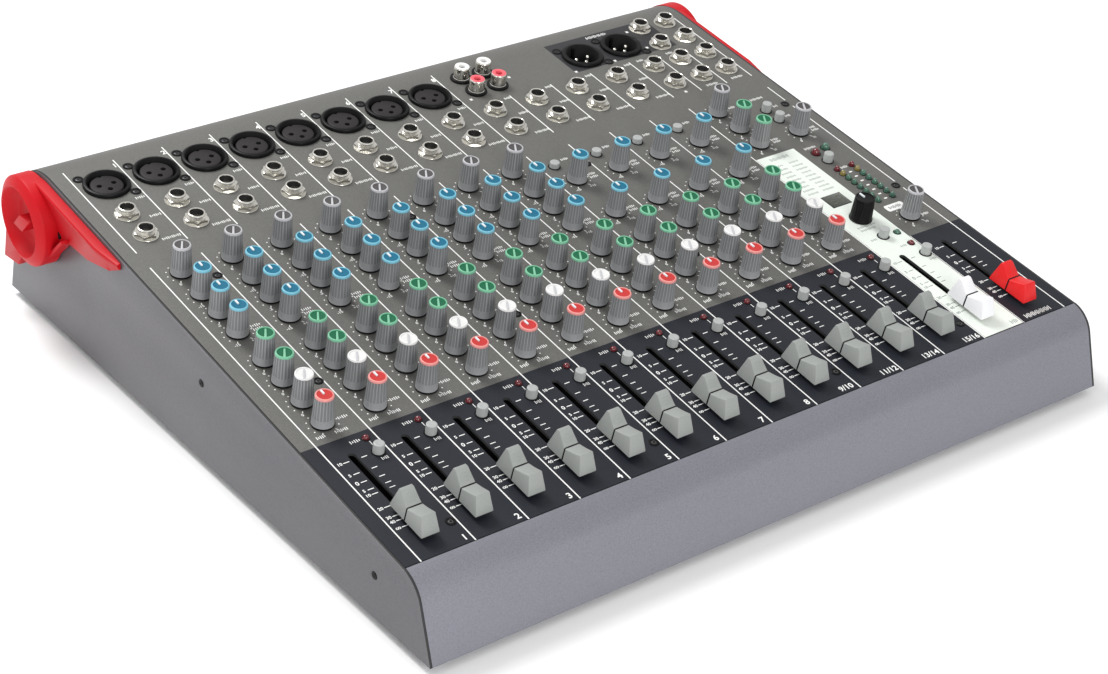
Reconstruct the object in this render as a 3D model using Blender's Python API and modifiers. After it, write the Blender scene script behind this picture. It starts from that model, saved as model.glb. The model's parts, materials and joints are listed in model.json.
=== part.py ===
"""A compact mixing console: sheet-steel case, corner guards, control boards, knobs, faders and buttons.

The console rests on z = 0 and its front faces -Y. The origin is under the middle of the case.
Places on the sloping panel are given on the panel's grid: a column and a row, both in channel pitches,
and a height above the panel in metres. Column 0 is the line left of channel 1, and row 0 is the front
edge.
"""

import math

import bmesh
import bpy
from mathutils import Matrix, Vector

# Driving dimensions, in metres unless the comment says otherwise.
PITCH = 0.027  # width of one channel strip, the unit of the panel's grid
TILT = math.radians(8.4)  # slope of the panel
STRIPS = 14  # eight mono, four stereo, one effects and one main strip
MONO_STRIPS = 8
STEREO_STRIPS = 4
SIDE_MARGIN = 0.33 * PITCH  # from the outermost strip lines to the outside of the case
FOOT_HEIGHT = 0.004
SHEET = 0.0015  # steel sheet of the tray and the top panel
CHEEK = 0.002  # thickness of the side panels
GAP = 0.0003  # between neighbouring pieces

# Side outline of the case
PANEL_FRONT_HEIGHT = 1.413 * PITCH  # panel's front edge above the case's floor
NOSE_REACH = 0.731 * PITCH  # floor's front edge ahead of the panel's front edge
REAR_REACH = 13.61 * PITCH  # floor's rear edge behind the panel's front edge
FRONT_LEAN = math.radians(15.8)
REAR_LEAN = math.radians(17.0)
NOSE_RADIUS = 0.573 * PITCH
FOLD_RADIUS = 1.3 * PITCH
REAR_SEAM_HEIGHT = 0.054  # where the top panel meets the tray on the rear wall

# Rows of controls, in pitches from the panel's front edge
MONO_KNOB_ROWS = {
    "gain": 8.08,
    "high": 7.37,
    "mid_frequency": 6.77,
    "mid": 6.16,
    "aux_1": 5.30,
    "aux_2": 4.70,
    "effect_send": 4.09,
    "pan": 3.47,
}
STEREO_KNOB_ROWS = {
    "high": 7.37,
    "low": 6.16,
    "aux_1": 5.30,
    "aux_2": 4.70,
    "effect_send": 4.09,
    "balance": 3.47,
}
KNOB_COLUMN = 0.402  # knobs from the strip's left line, in pitches
FADER_COLUMN = 0.390
LISTEN_BUTTON = (0.815, 2.46)
STEREO_SWITCH = (0.285, 7.93)
FADER_CLOSED_ROW = 0.79
MAIN_FADER_COLUMN = 13.465
SLOT_ROWS = (0.63, 2.64)
MASTER_KNOBS = {
    "phones_knob": (12.43, 8.06),
    "effect_to_aux_1_knob": (12.45, 7.40),
    "effect_to_aux_2_knob": (12.45, 6.79),
    "tape_level_knob": (13.49, 6.80),
    "monitor_level_knob": (13.48, 3.54),
}
EFFECT_SELECTOR = (12.53, 3.90)
MASTER_BUTTONS = {
    "tape_to_main_button": (13.40, 7.70),
    "tape_to_monitor_button": (13.41, 7.31),
    "phantom_power_button": (13.31, 5.72),
    "effect_tap_button": (12.52, 3.25),
}
EFFECT_MUTE_BUTTON = (12.875, 2.47)
METER_COLUMNS = (13.26, 13.64)
METER_ROWS = (4.12, 5.47)
METER_HALF = 0.07
DISPLAY = ((12.30, 4.40), (12.76, 4.77))

# Sockets
MICROPHONE_SOCKET = (0.513, 11.05)
MAIN_OUTPUTS = ((11.26, 11.02), (12.25, 11.02))
CHANNEL_JACK_ROWS = (10.06, 9.36)
CHANNEL_JACK_COLUMN = 0.41
PHONO_SOCKETS = ((8.48, 11.36), (9.0, 11.36), (8.49, 10.84), (9.01, 10.84))
MASTER_JACKS = {
    12.38: (10.07, 9.37),
    13.07: (11.43, 10.73, 10.06, 9.36),
    13.73: (11.42, 10.74, 10.05, 9.36),
}
XLR_RADIUS = 0.435 * PITCH
XLR_BODY = 0.39 * PITCH
XLR_FACE = 0.30 * PITCH
XLR_FLANGE = 0.0013
XLR_GROOVE_DEPTH = 0.010
XLR_SIDES = 8
OUTPUT_BORE = 0.352 * PITCH
JACK_RADIUS = 0.0046
JACK_BORE = 0.0032
JACK_TOP = 0.0045
PHONO_RADIUS = 0.0042
PHONO_BORE = 0.0017
PHONO_TOP = 0.008
PHONO_DEPTH = 0.004
BORE_DEPTH = 0.012  # of the jacks and of the output sockets, below the panel

# Boards lie parallel to the panel
BOARD_THICKNESS = 0.0016
CONTROL_BOARD_TOP = -0.014
CONNECTOR_BOARD_TOP = -0.022
BOARD_AREAS = {
    "mono_control_board": ((0.03, 3.12), (7.97, 8.45)),
    "stereo_control_board": ((8.03, 3.12), (11.97, 8.45)),
    "master_board": ((12.03, 3.12), (14.10, 8.45)),
    "fader_board": ((0.03, 0.50), (14.10, 3.06)),
    "connector_board": ((0.03, 8.95), (14.10, 11.60)),
}
DISPLAY_FACE = 0.0003  # above the panel

# Knobs, buttons and fader caps
KNOB_SIZE = (0.19 * PITCH, 0.156 * PITCH, 0.0164)  # radius at the foot and at the top, and height
SELECTOR_SIZE = (0.00575, 0.0051, 0.013)
KNOB_CLEARANCE = 0.0009
SHAFT_RADIUS = 0.003
POT_HALF = 0.0045
POT_TOP = -0.009
BUTTON_RADIUS = 0.0027
BUTTON_TOP = 0.005
BUTTON_TRAVEL = 0.0025
SWITCH_HALF = 0.0032
SWITCH_TOP = -0.0105
CAP_LENGTH = 0.024
CAP_WIDTH = 0.0092
CAP_CLEARANCE = 0.0024
CAP_EDGE = 0.0008  # upright edge round the foot of a cap
CAP_REAR_RIDGE = (0.0083, 0.0136)  # along the slot from the cap's middle, and above the panel
CAP_FRONT_RIDGE = (-0.0092, 0.0115)
CAP_VALLEY = (0.0007, 0.0086)
CAP_VALLEY_HALF = 0.0005
CAP_RIDGE_WIDTH = 0.0018
STEM_SIZE = (0.0014, 0.004)
STEM_FOOT = -0.009
SLOT_WIDTH = 0.0036
HOUSING_HALF = 0.0045
HOUSING_TOP = -0.0025
HOUSING_END = 0.12  # past the ends of the slot, in pitches
TRACK_HALF = 0.0022
TRACK_FLOOR = -0.0115
TRACK_END = 0.02
FIXED_SIDES = 6
MOVING_SIDES = 10

# Openings in the sheets
CUT_DEPTH = 0.004
HOLE_CLEARANCE = 0.0004
SHAFT_CLEARANCE = 0.0005
TURNING_CLEARANCE = 0.0012
VENT_SLOTS = 6
VENT_SIZE = (0.005, 0.024)
VENT_FIRST = (0.085, 0.030)  # sideways, and up the wall from the floor's rear edge
VENT_STEP = 0.012

# Feet
FOOT_RADII = (0.008, 0.009)
FOOT_SIDE_INSET = 0.035
FOOT_FRONT_INSET = 0.045
FOOT_REAR_INSET = 0.035

# Corner guards
DRUM_RADIUS = 0.865 * PITCH
DRUM_DEPTH = 0.45 * PITCH
DRUM_CHAMFER = 0.106 * PITCH
DRUM_CENTRE = (11.93 * PITCH, 2.21 * PITCH)  # behind the panel's front edge, above the floor
DRUM_SIDES = 24
GUARD_PLATE = 0.17 * PITCH
DISH_RADIUS = 0.69 * PITCH
DISH_DEPTH = 0.007
PEG_SIZE = 0.41 * PITCH
DISH_FLOOR_RADIUS = 0.95 * PEG_SIZE
PEG_TURN = math.radians(-25)
PEG_DROP = 0.001  # below the drum's rim
OVERLAP = 0.0005  # between shapes that a Boolean joins or cuts

# Rear wall: places on the inlet are sideways and up from its centre, as seen from behind
INLET_SIZE = (0.050, 0.026)
INLET_CENTRE = (-0.115, 0.030)
INLET_DEPTH = 0.022
INLET_FACE = 0.0012
INLET_RIM = 0.003
INLET_RIM_TOP = 0.0018
PLUG_RECESS = ((-0.021, -0.008, -0.014), (0.003, 0.008, 0.004))
ROCKER_RECESS = ((0.0085, -0.0108, -0.013), (0.0205, 0.0108, 0.004))
PIN_PLACES = ((-0.014, -0.002), (-0.009, 0.002), (-0.004, -0.002))
PIN_HALF = (0.001, 0.002)
PIN_ENDS = (-0.015, -0.002)
ROCKER_SIZE = (0.0105, 0.0165, 0.006)
ROCKER_PLACE = 0.0145  # from the middle of the inlet to the middle of the rocker
ROCKER_PIVOT_DEPTH = 0.0035
ROCKER_FACE = (0.0015, 0.003)  # above the pivot, at the middle and at the ends
ROCKER_TIP = math.radians(6)

# Power supply, on posts over the tray
SUPPLY_PLACE = (-0.110, -0.085, 0.003)  # sideways, from the floor's rear edge, and above the tray
SUPPLY_BOARD = (0.100, 0.060, 0.0016)
TRANSFORMER = ((-0.014, -0.016), (0.018, 0.016), 0.026)
HEAT_SINKS = (((-0.044, -0.024), (-0.040, 0.024), 0.022), ((0.036, -0.024), (0.040, 0.024), 0.022))
CAPACITOR = (0.027, 0.007, 0.024)  # sideways, radius and top
CAPACITOR_SIDES = 10

HALF_WIDTH = STRIPS * PITCH / 2 + SIDE_MARGIN
FLOOR = FOOT_HEIGHT + GAP
PANEL_FRONT = (NOSE_REACH - REAR_REACH) / 2  # y of the panel's front edge; the case's middle is at y = 0

MATERIALS = {
    "panel_paint": ((0.33, 0.33, 0.34), 0.55, 0.3),
    "case_paint": ((0.22, 0.22, 0.24), 0.5, 0.4),
    "guard_plastic": ((0.72, 0.02, 0.03), 0.4, 0.0),
    "rubber": ((0.03, 0.03, 0.03), 0.9, 0.0),
    "circuit_board": ((0.04, 0.16, 0.07), 0.6, 0.0),
    "socket_metal": ((0.7, 0.7, 0.7), 0.25, 1.0),
    "knob_grey": ((0.42, 0.43, 0.45), 0.5, 0.0),
    "knob_blue": ((0.05, 0.35, 0.55), 0.5, 0.0),
    "knob_green": ((0.08, 0.45, 0.25), 0.5, 0.0),
    "knob_white": ((0.85, 0.85, 0.85), 0.5, 0.0),
    "knob_red": ((0.75, 0.12, 0.1), 0.5, 0.0),
    "knob_black": ((0.02, 0.02, 0.02), 0.4, 0.0),
    "cap_grey": ((0.55, 0.57, 0.57), 0.5, 0.0),
    "cap_white": ((0.9, 0.9, 0.9), 0.5, 0.0),
    "cap_red": ((0.75, 0.03, 0.03), 0.5, 0.0),
    "button_grey": ((0.5, 0.52, 0.52), 0.5, 0.0),
    "black_plastic": ((0.02, 0.02, 0.02), 0.5, 0.0),
    "supply_metal": ((0.5, 0.5, 0.52), 0.4, 1.0),
}


def clear_scene():
    for old in list(bpy.data.objects):
        bpy.data.objects.remove(old)


def new_collection(name):
    collection = bpy.data.collections.new(name)
    bpy.context.scene.collection.children.link(collection)
    return collection


def make_materials():
    made = {}
    for name, (colour, roughness, metallic) in MATERIALS.items():
        material = bpy.data.materials.new(name)
        material.use_nodes = True
        shader = material.node_tree.nodes["Principled BSDF"]
        shader.inputs["Base Color"].default_value = (*colour, 1.0)
        shader.inputs["Roughness"].default_value = roughness
        shader.inputs["Metallic"].default_value = metallic
        material.diffuse_color = (*colour, 1.0)
        made[name] = material
    return made


# Places and frames


def panel_point(column, row, height=0.0):
    """The world point over a place on the panel's grid."""
    along = row * PITCH
    return Vector((
        (column - STRIPS / 2) * PITCH,
        PANEL_FRONT + along * math.cos(TILT) - height * math.sin(TILT),
        FLOOR + PANEL_FRONT_HEIGHT + along * math.sin(TILT) + height * math.cos(TILT),
    ))


def panel_frame(column, row, height=0.0):
    """A frame on the panel with X to the right, Y up the slope and Z out of the panel."""
    return Matrix.Translation(panel_point(column, row, height)) @ Matrix.Rotation(TILT, 4, "X")


def rear_frame(sideways, up, out=0.0):
    """A frame on the rear wall as seen from behind, with Y up the wall and Z out of it."""
    wall_up = Vector((0, -math.sin(REAR_LEAN), math.cos(REAR_LEAN)))
    wall_out = Vector((0, math.cos(REAR_LEAN), math.sin(REAR_LEAN)))
    foot = Vector((sideways, PANEL_FRONT + REAR_REACH, FLOOR))
    place = foot + wall_up * up + wall_out * out
    frame = Matrix((Vector((-1, 0, 0)), wall_up, wall_out)).transposed().to_4x4()
    return Matrix.Translation(place) @ frame


def side_frame(side):
    """A frame on the outside of a cheek, with X to the rear, Y up and Z to the right."""
    frame = Matrix((Vector((0, 1, 0)), Vector((0, 0, 1)), Vector((1, 0, 0)))).transposed().to_4x4()
    return Matrix.Translation((side * HALF_WIDTH, PANEL_FRONT, FLOOR)) @ frame


# Mesh helpers


def add_object(name, mesh, material, collection, placement=None):
    shape = bpy.data.objects.new(name, mesh)
    mesh.materials.clear()
    mesh.materials.append(material)
    collection.objects.link(shape)
    if placement is not None:
        shape.matrix_world = placement
    return shape


def finish_mesh(bm, name):
    bmesh.ops.recalc_face_normals(bm, faces=bm.faces)
    mesh = bpy.data.meshes.new(name)
    bm.to_mesh(mesh)
    bm.free()
    return mesh


def add_block(bm, low, high, frame=None):
    """A box between two corners, in a frame."""
    low, high = Vector(low), Vector(high)
    box = Matrix.Translation((low + high) / 2) @ Matrix.Diagonal((*(high - low), 1))
    bmesh.ops.create_cube(bm, size=1, matrix=(frame or Matrix()) @ box)


def add_prism(bm, radius, bottom, top, sides, frame=None, top_radius=None):
    """A prism or a frustum standing on a frame's Z axis, with one edge towards X."""
    centre = Matrix.Translation((0, 0, (bottom + top) / 2)) @ Matrix.Rotation(math.pi / 2, 4, "Z")
    bmesh.ops.create_cone(
        bm,
        cap_ends=True,
        segments=sides,
        radius1=radius,
        radius2=radius if top_radius is None else top_radius,
        depth=top - bottom,
        matrix=(frame or Matrix()) @ centre,
    )


def add_turned(bm, profile, sides, frame=None):
    """A body turned about Z from (radius, height) points that start and end on the axis."""
    turned = bmesh.new()
    verts = [turned.verts.new((radius, 0, height)) for radius, height in profile]
    edges = [turned.edges.new(pair) for pair in zip(verts, verts[1:])]
    bmesh.ops.spin(
        turned,
        geom=verts + edges,
        axis=(0, 0, 1),
        cent=(0, 0, 0),
        steps=sides,
        angle=2 * math.pi,
        use_merge=True,
    )
    bmesh.ops.remove_doubles(turned, verts=turned.verts, dist=1e-6)
    bmesh.ops.recalc_face_normals(turned, faces=turned.faces)
    if frame is not None:
        bmesh.ops.transform(turned, matrix=frame, verts=turned.verts)
    mesh = bpy.data.meshes.new("turned")
    turned.to_mesh(mesh)
    turned.free()
    bm.from_mesh(mesh)
    bpy.data.meshes.remove(mesh)


def add_tool(target, bm, operation, tools):
    """A Boolean on the target with a hidden tool object made from a bmesh."""
    tool = bpy.data.objects.new(f"{target.name}_{operation.lower()}", finish_mesh(bm, "tool"))
    tools.objects.link(tool)
    tool.matrix_world = target.matrix_world
    tool.hide_render = True
    tool.display_type = "WIRE"
    modifier = target.modifiers.new(operation.title(), "BOOLEAN")
    modifier.operation = operation
    modifier.object = tool


def add_flat_outline(name, points, depth, material, collection, placement):
    """A flat plate from an outline in a frame's XY plane, thick from Z = 0 to Z = depth."""
    curve = bpy.data.curves.new(name, "CURVE")
    curve.dimensions = "2D"
    curve.fill_mode = "BOTH"
    curve.extrude = abs(depth) / 2
    spline = curve.splines.new("POLY")
    spline.points.add(len(points) - 1)
    for point, (x, y) in zip(spline.points, points):
        point.co = (x, y, 0, 1)
    spline.use_cyclic_u = True
    guide = bpy.data.objects.new(name + "_outline", curve)
    collection.objects.link(guide)
    bpy.context.view_layer.update()
    evaluated = guide.evaluated_get(bpy.context.evaluated_depsgraph_get())
    mesh = bpy.data.meshes.new_from_object(evaluated)
    bpy.data.objects.remove(guide)
    bm = bmesh.new()
    bm.from_mesh(mesh)
    bpy.data.meshes.remove(mesh)
    bmesh.ops.remove_doubles(bm, verts=bm.verts, dist=1e-5)
    bmesh.ops.translate(bm, verts=bm.verts, vec=(0, 0, depth / 2))
    return add_object(name, finish_mesh(bm, name), material, collection, placement)


def smooth(shape, angle=40):
    shape.data.shade_smooth()
    shape.data.set_sharp_from_angle(angle=math.radians(angle))


# Side outline of the case, in (back, up) coordinates from the panel's front edge over the floor


def fillet(corner, towards, away, radius, segments):
    """Points of an arc that rounds a corner between two directions, and so is tangent to both."""
    corner, towards, away = Vector(corner), Vector(towards).normalized(), Vector(away).normalized()
    half_angle = towards.angle(away) / 2
    centre = corner + (towards + away).normalized() * (radius / math.sin(half_angle))
    start = corner + towards * (radius / math.tan(half_angle)) - centre
    end = corner + away * (radius / math.tan(half_angle)) - centre
    turn = math.atan2(start.x * end.y - start.y * end.x, start.dot(end))
    return [centre + Matrix.Rotation(turn * step / segments, 2) @ start for step in range(segments + 1)]


def crossing(point_a, direction_a, point_b, direction_b):
    """Where two lines of the outline cross."""
    across = Vector((-direction_b.y, direction_b.x))
    along = (point_b - point_a).dot(across) / direction_a.dot(across)
    return point_a + direction_a * along


PANEL_START = Vector((0, PANEL_FRONT_HEIGHT))
PANEL_SLOPE = Vector((math.cos(TILT), math.sin(TILT)))
FRONT_FOOT = Vector((-NOSE_REACH, 0))
FRONT_UP = Vector((math.sin(FRONT_LEAN), math.cos(FRONT_LEAN)))
REAR_FOOT = Vector((REAR_REACH, 0))
REAR_UP = Vector((-math.sin(REAR_LEAN), math.cos(REAR_LEAN)))


def nose_arc():
    corner = crossing(FRONT_FOOT, FRONT_UP, PANEL_START, PANEL_SLOPE)
    return fillet(corner, -FRONT_UP, PANEL_SLOPE, NOSE_RADIUS, 6)


def fold_arc(inset=0.0):
    corner = crossing(REAR_FOOT, REAR_UP, PANEL_START, PANEL_SLOPE)
    arc = fillet(corner, -PANEL_SLOPE, -REAR_UP, FOLD_RADIUS, 8)
    centre = arc[0] + Vector((PANEL_SLOPE.y, -PANEL_SLOPE.x)) * FOLD_RADIUS
    return [centre + (point - centre) * (1 - inset / FOLD_RADIUS) for point in arc]


def rear_wall_point(height):
    return REAR_FOOT + REAR_UP * (height / REAR_UP.y)


def sheet_from_profile(name, profile, half_width, material, collection):
    """A folded sheet: an anticlockwise profile seen from the left, drawn across and thickened inwards."""
    bm = bmesh.new()
    verts = [bm.verts.new((half_width, PANEL_FRONT + y, FLOOR + z)) for y, z in profile]
    edges = [bm.edges.new(pair) for pair in zip(verts, verts[1:])]
    drawn = bmesh.ops.extrude_edge_only(bm, edges=edges)["geom"]
    moved = [item for item in drawn if isinstance(item, bmesh.types.BMVert)]
    bmesh.ops.translate(bm, verts=moved, vec=(-2 * half_width, 0, 0))
    mesh = bpy.data.meshes.new(name)
    bm.to_mesh(mesh)
    bm.free()
    sheet = add_object(name, mesh, material, collection)
    thickness = sheet.modifiers.new("Sheet", "SOLIDIFY")
    thickness.thickness = SHEET
    thickness.offset = -1
    thickness.use_even_offset = True
    return sheet


# Case


def build_tray(materials, parts, tools):
    nose = nose_arc()
    lip = PANEL_START - PANEL_SLOPE * GAP
    profile = [lip] + [point for point in reversed(nose) if point.x < lip.x - GAP]
    profile += [FRONT_FOOT, REAR_FOOT, rear_wall_point(REAR_SEAM_HEIGHT - GAP)]
    inner = HALF_WIDTH - CHEEK - GAP
    tray = sheet_from_profile("base_tray", profile, inner, materials["case_paint"], parts)
    cuts = bmesh.new()
    across, up = (size / 2 + GAP for size in INLET_SIZE)
    add_block(cuts, (-across, -up, -CUT_DEPTH), (across, up, CUT_DEPTH), rear_frame(*INLET_CENTRE))
    across, up = (size / 2 for size in VENT_SIZE)
    for slot in range(VENT_SLOTS):
        frame = rear_frame(VENT_FIRST[0] + VENT_STEP * slot, VENT_FIRST[1])
        add_block(cuts, (-across, -up, -CUT_DEPTH), (across, up, CUT_DEPTH), frame)
    add_tool(tray, cuts, "DIFFERENCE", tools)


def cut_panel_openings(cuts):
    """Every opening in the top panel, as prisms through the sheet."""

    def hole(column, row, radius, sides):
        add_prism(cuts, radius, -CUT_DEPTH, CUT_DEPTH, sides, panel_frame(column, row))

    def slot(low, high, margin=GAP):
        centre = ((low[0] + high[0]) / 2, (low[1] + high[1]) / 2)
        across = (high[0] - low[0]) * PITCH / 2 + margin
        along = (high[1] - low[1]) * PITCH / 2 + margin
        add_block(cuts, (-across, -along, -CUT_DEPTH), (across, along, CUT_DEPTH), panel_frame(*centre))

    for column, row in fixed_knob_places("mono") + fixed_knob_places("stereo"):
        hole(column, row, SHAFT_RADIUS + SHAFT_CLEARANCE, FIXED_SIDES)
    for column, row in moving_knob_places().values():
        hole(column, row, SHAFT_RADIUS + TURNING_CLEARANCE, FIXED_SIDES)
    for column, row in fixed_button_places("all") + list(moving_button_places().values()):
        hole(column, row, BUTTON_RADIUS + HOLE_CLEARANCE, FIXED_SIDES)
    for column in fader_columns():
        half = SLOT_WIDTH / 2 / PITCH
        slot((column - half, SLOT_ROWS[0]), (column + half, SLOT_ROWS[1]), margin=0)
    for column, row in microphone_places() + list(MAIN_OUTPUTS):
        hole(column, row, XLR_BODY + HOLE_CLEARANCE, XLR_SIDES)
    for column, row in jack_places():
        hole(column, row, JACK_RADIUS + HOLE_CLEARANCE, FIXED_SIDES)
    for column, row in PHONO_SOCKETS:
        hole(column, row, PHONO_RADIUS + HOLE_CLEARANCE, FIXED_SIDES)
    slot(*DISPLAY)
    for column in METER_COLUMNS:
        slot((column - METER_HALF, METER_ROWS[0]), (column + METER_HALF, METER_ROWS[1]))


def build_top_panel(materials, parts, tools):
    fold = fold_arc()
    profile = [rear_wall_point(REAR_SEAM_HEIGHT + GAP)] + list(reversed(fold))
    profile += [PANEL_START + PANEL_SLOPE * GAP]
    inner = HALF_WIDTH - CHEEK - GAP
    panel = sheet_from_profile("top_panel", profile, inner, materials["panel_paint"], parts)
    cuts = bmesh.new()
    cut_panel_openings(cuts)
    add_tool(panel, cuts, "DIFFERENCE", tools)


def build_cheeks(materials, parts):
    outline = [FRONT_FOOT] + nose_arc() + fold_arc() + [REAR_FOOT]
    for name, side in (("left_side_panel", -1), ("right_side_panel", 1)):
        add_flat_outline(name, outline, -side * CHEEK, materials["case_paint"], parts, side_frame(side))


def build_feet(materials, parts):
    across = HALF_WIDTH - FOOT_SIDE_INSET
    rows = {
        "front": PANEL_FRONT - NOSE_REACH + FOOT_FRONT_INSET,
        "rear": PANEL_FRONT + REAR_REACH - FOOT_REAR_INSET,
    }
    for row, y in rows.items():
        for side, x in (("left", -across), ("right", across)):
            bm = bmesh.new()
            add_prism(bm, FOOT_RADII[0], 0, FOOT_HEIGHT, 12, top_radius=FOOT_RADII[1])
            mesh, place = finish_mesh(bm, "foot"), Matrix.Translation((x, y, 0))
            smooth(add_object(f"foot_{row}_{side}", mesh, materials["rubber"], parts, place))


# Corner guards


def guard_outline():
    """The guard's plate: a blade along the panel's edge, a curve over the fold and a heel at the rear."""
    panel_out = Vector((-PANEL_SLOPE.y, PANEL_SLOPE.x))

    def on_panel(row, drop):
        return PANEL_START + (PANEL_SLOPE * row - panel_out * drop) * PITCH

    blade = [(8.87, 0.20), (9.15, 0.39), (9.97, 0.68), (10.80, 0.80), (11.36, 1.54)]
    heel = [(12.30, 1.42), (12.75, 0.92)]
    outline = [on_panel(row, drop) for row, drop in blade]
    outline += [Vector((back, up)) * PITCH for back, up in heel]
    outline.append(rear_wall_point(0.80 * PITCH))
    outline += reversed(fold_arc(inset=0.03 * PITCH))
    outline.append(on_panel(9.15, 0.03))
    return outline


def build_guards(materials, parts, tools):
    for name, side in (("left_corner_guard", -1), ("right_corner_guard", 1)):
        frame = side_frame(side) @ Matrix.Translation((0, 0, side * GAP))
        plate = side * GUARD_PLATE
        guard = add_flat_outline(name, guard_outline(), plate, materials["guard_plastic"], parts, frame)
        flip = Matrix.Rotation(math.pi, 4, "X") if side < 0 else Matrix()
        axis = Matrix.Translation((*DRUM_CENTRE, 0)) @ flip
        bottom = DRUM_DEPTH - DISH_DEPTH
        profile = [
            (0, OVERLAP),
            (DRUM_RADIUS, OVERLAP),
            (DRUM_RADIUS, DRUM_DEPTH - DRUM_CHAMFER),
            (DISH_RADIUS, DRUM_DEPTH),
            (DISH_FLOOR_RADIUS, bottom),
            (0, bottom),
        ]
        drum = bmesh.new()
        add_turned(drum, profile, DRUM_SIDES, axis)
        add_tool(guard, drum, "UNION", tools)
        peg = bmesh.new()
        half = PEG_SIZE / 2
        low, high = (-half, -half, bottom - OVERLAP), (half, half, DRUM_DEPTH - PEG_DROP)
        add_block(peg, low, high, axis @ Matrix.Rotation(side * PEG_TURN, 4, "Z"))
        add_tool(guard, peg, "UNION", tools)


# Places of controls and sockets on the grid


def strip_left(strip):
    """Left line of a strip; the strips count from 1."""
    return strip - 1


def fixed_knob_places(kind):
    """Knobs that are modelled on their board: all but the first mono and the first stereo strip's."""
    if kind == "mono":
        strips, rows = range(2, MONO_STRIPS + 1), MONO_KNOB_ROWS.values()
    else:
        first = MONO_STRIPS + 2
        strips, rows = range(first, first + STEREO_STRIPS - 1), STEREO_KNOB_ROWS.values()
    return [(strip_left(strip) + KNOB_COLUMN, row) for strip in strips for row in rows]


def moving_knob_places():
    places = {f"strip_1_{name}_knob": (KNOB_COLUMN, row) for name, row in MONO_KNOB_ROWS.items()}
    column = strip_left(MONO_STRIPS + 1) + KNOB_COLUMN
    places |= {f"strip_9_{name}_knob": (column, row) for name, row in STEREO_KNOB_ROWS.items()}
    return places | MASTER_KNOBS | {"effect_selector_knob": EFFECT_SELECTOR}


def listen_button_place(strip):
    return (strip_left(strip) + LISTEN_BUTTON[0], LISTEN_BUTTON[1])


def stereo_switch_place(strip):
    return (strip_left(strip) + STEREO_SWITCH[0], STEREO_SWITCH[1])


def fixed_button_places(kind):
    """Buttons that are modelled on their board."""
    channels = MONO_STRIPS + STEREO_STRIPS
    listen = [listen_button_place(strip) for strip in range(2, channels + 1) if strip != MONO_STRIPS + 1]
    stereo = [stereo_switch_place(strip) for strip in range(MONO_STRIPS + 2, channels + 1)]
    return {"listen": listen, "stereo": stereo, "all": listen + stereo}[kind]


def moving_button_places():
    first_stereo = MONO_STRIPS + 1
    places = {
        "strip_1_listen_button": listen_button_place(1),
        "strip_9_listen_button": listen_button_place(first_stereo),
        "strip_9_level_switch": stereo_switch_place(first_stereo),
        "effect_mute_button": EFFECT_MUTE_BUTTON,
    }
    return places | MASTER_BUTTONS


def fader_columns():
    return [strip_left(strip) + FADER_COLUMN for strip in range(1, STRIPS)] + [MAIN_FADER_COLUMN]


def microphone_places():
    column, row = MICROPHONE_SOCKET
    return [(strip_left(strip) + column, row) for strip in range(1, MONO_STRIPS + 1)]


def jack_places():
    channels = range(1, MONO_STRIPS + STEREO_STRIPS + 1)
    columns = [strip_left(strip) + CHANNEL_JACK_COLUMN for strip in channels]
    channel_jacks = [(column, row) for column in columns for row in CHANNEL_JACK_ROWS]
    return channel_jacks + [(column, row) for column, rows in MASTER_JACKS.items() for row in rows]


# Boards


def grid_point(column, row, height):
    """A place on the grid as a point in the frame of grid place (0, 0)."""
    return Vector((column * PITCH, row * PITCH, height))


def grid_frame(column, row):
    return Matrix.Translation(grid_point(column, row, 0))


def add_board(name, top, material, parts):
    """A circuit board under the panel, over its area of the grid."""
    low, high = BOARD_AREAS[name]
    bm = bmesh.new()
    add_block(bm, grid_point(*low, top - BOARD_THICKNESS), grid_point(*high, top))
    return add_object(name, finish_mesh(bm, name), material, parts, panel_frame(0, 0))


def knob_profile(foot, size=KNOB_SIZE):
    """Shaft and knob as one turned profile that starts at the shaft's foot."""
    radius, top_radius, top = size
    return [
        (0, foot),
        (SHAFT_RADIUS, foot),
        (SHAFT_RADIUS, KNOB_CLEARANCE),
        (radius, KNOB_CLEARANCE),
        (top_radius, top),
        (0, top),
    ]


def add_fixed_knobs(bm, places, board_top):
    for place in places:
        add_turned(bm, knob_profile(board_top - BOARD_THICKNESS / 2), FIXED_SIDES, grid_frame(*place))


def add_fixed_buttons(bm, places, board_top):
    foot = board_top - BOARD_THICKNESS / 2
    for place in places:
        add_prism(bm, BUTTON_RADIUS, foot, BUTTON_TOP, FIXED_SIDES, grid_frame(*place))


def add_housings(bm, places, board_top, half, top):
    """Square bodies of potentiometers or switches under the moving pieces."""
    foot = board_top - BOARD_THICKNESS / 2
    for place in places:
        add_block(bm, (-half, -half, foot), (half, half, top), grid_frame(*place))


def add_pots(bm, places, board_top):
    add_housings(bm, places, board_top, POT_HALF, POT_TOP)


def add_switches(bm, places, board_top):
    add_housings(bm, places, board_top, SWITCH_HALF, SWITCH_TOP)


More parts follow.
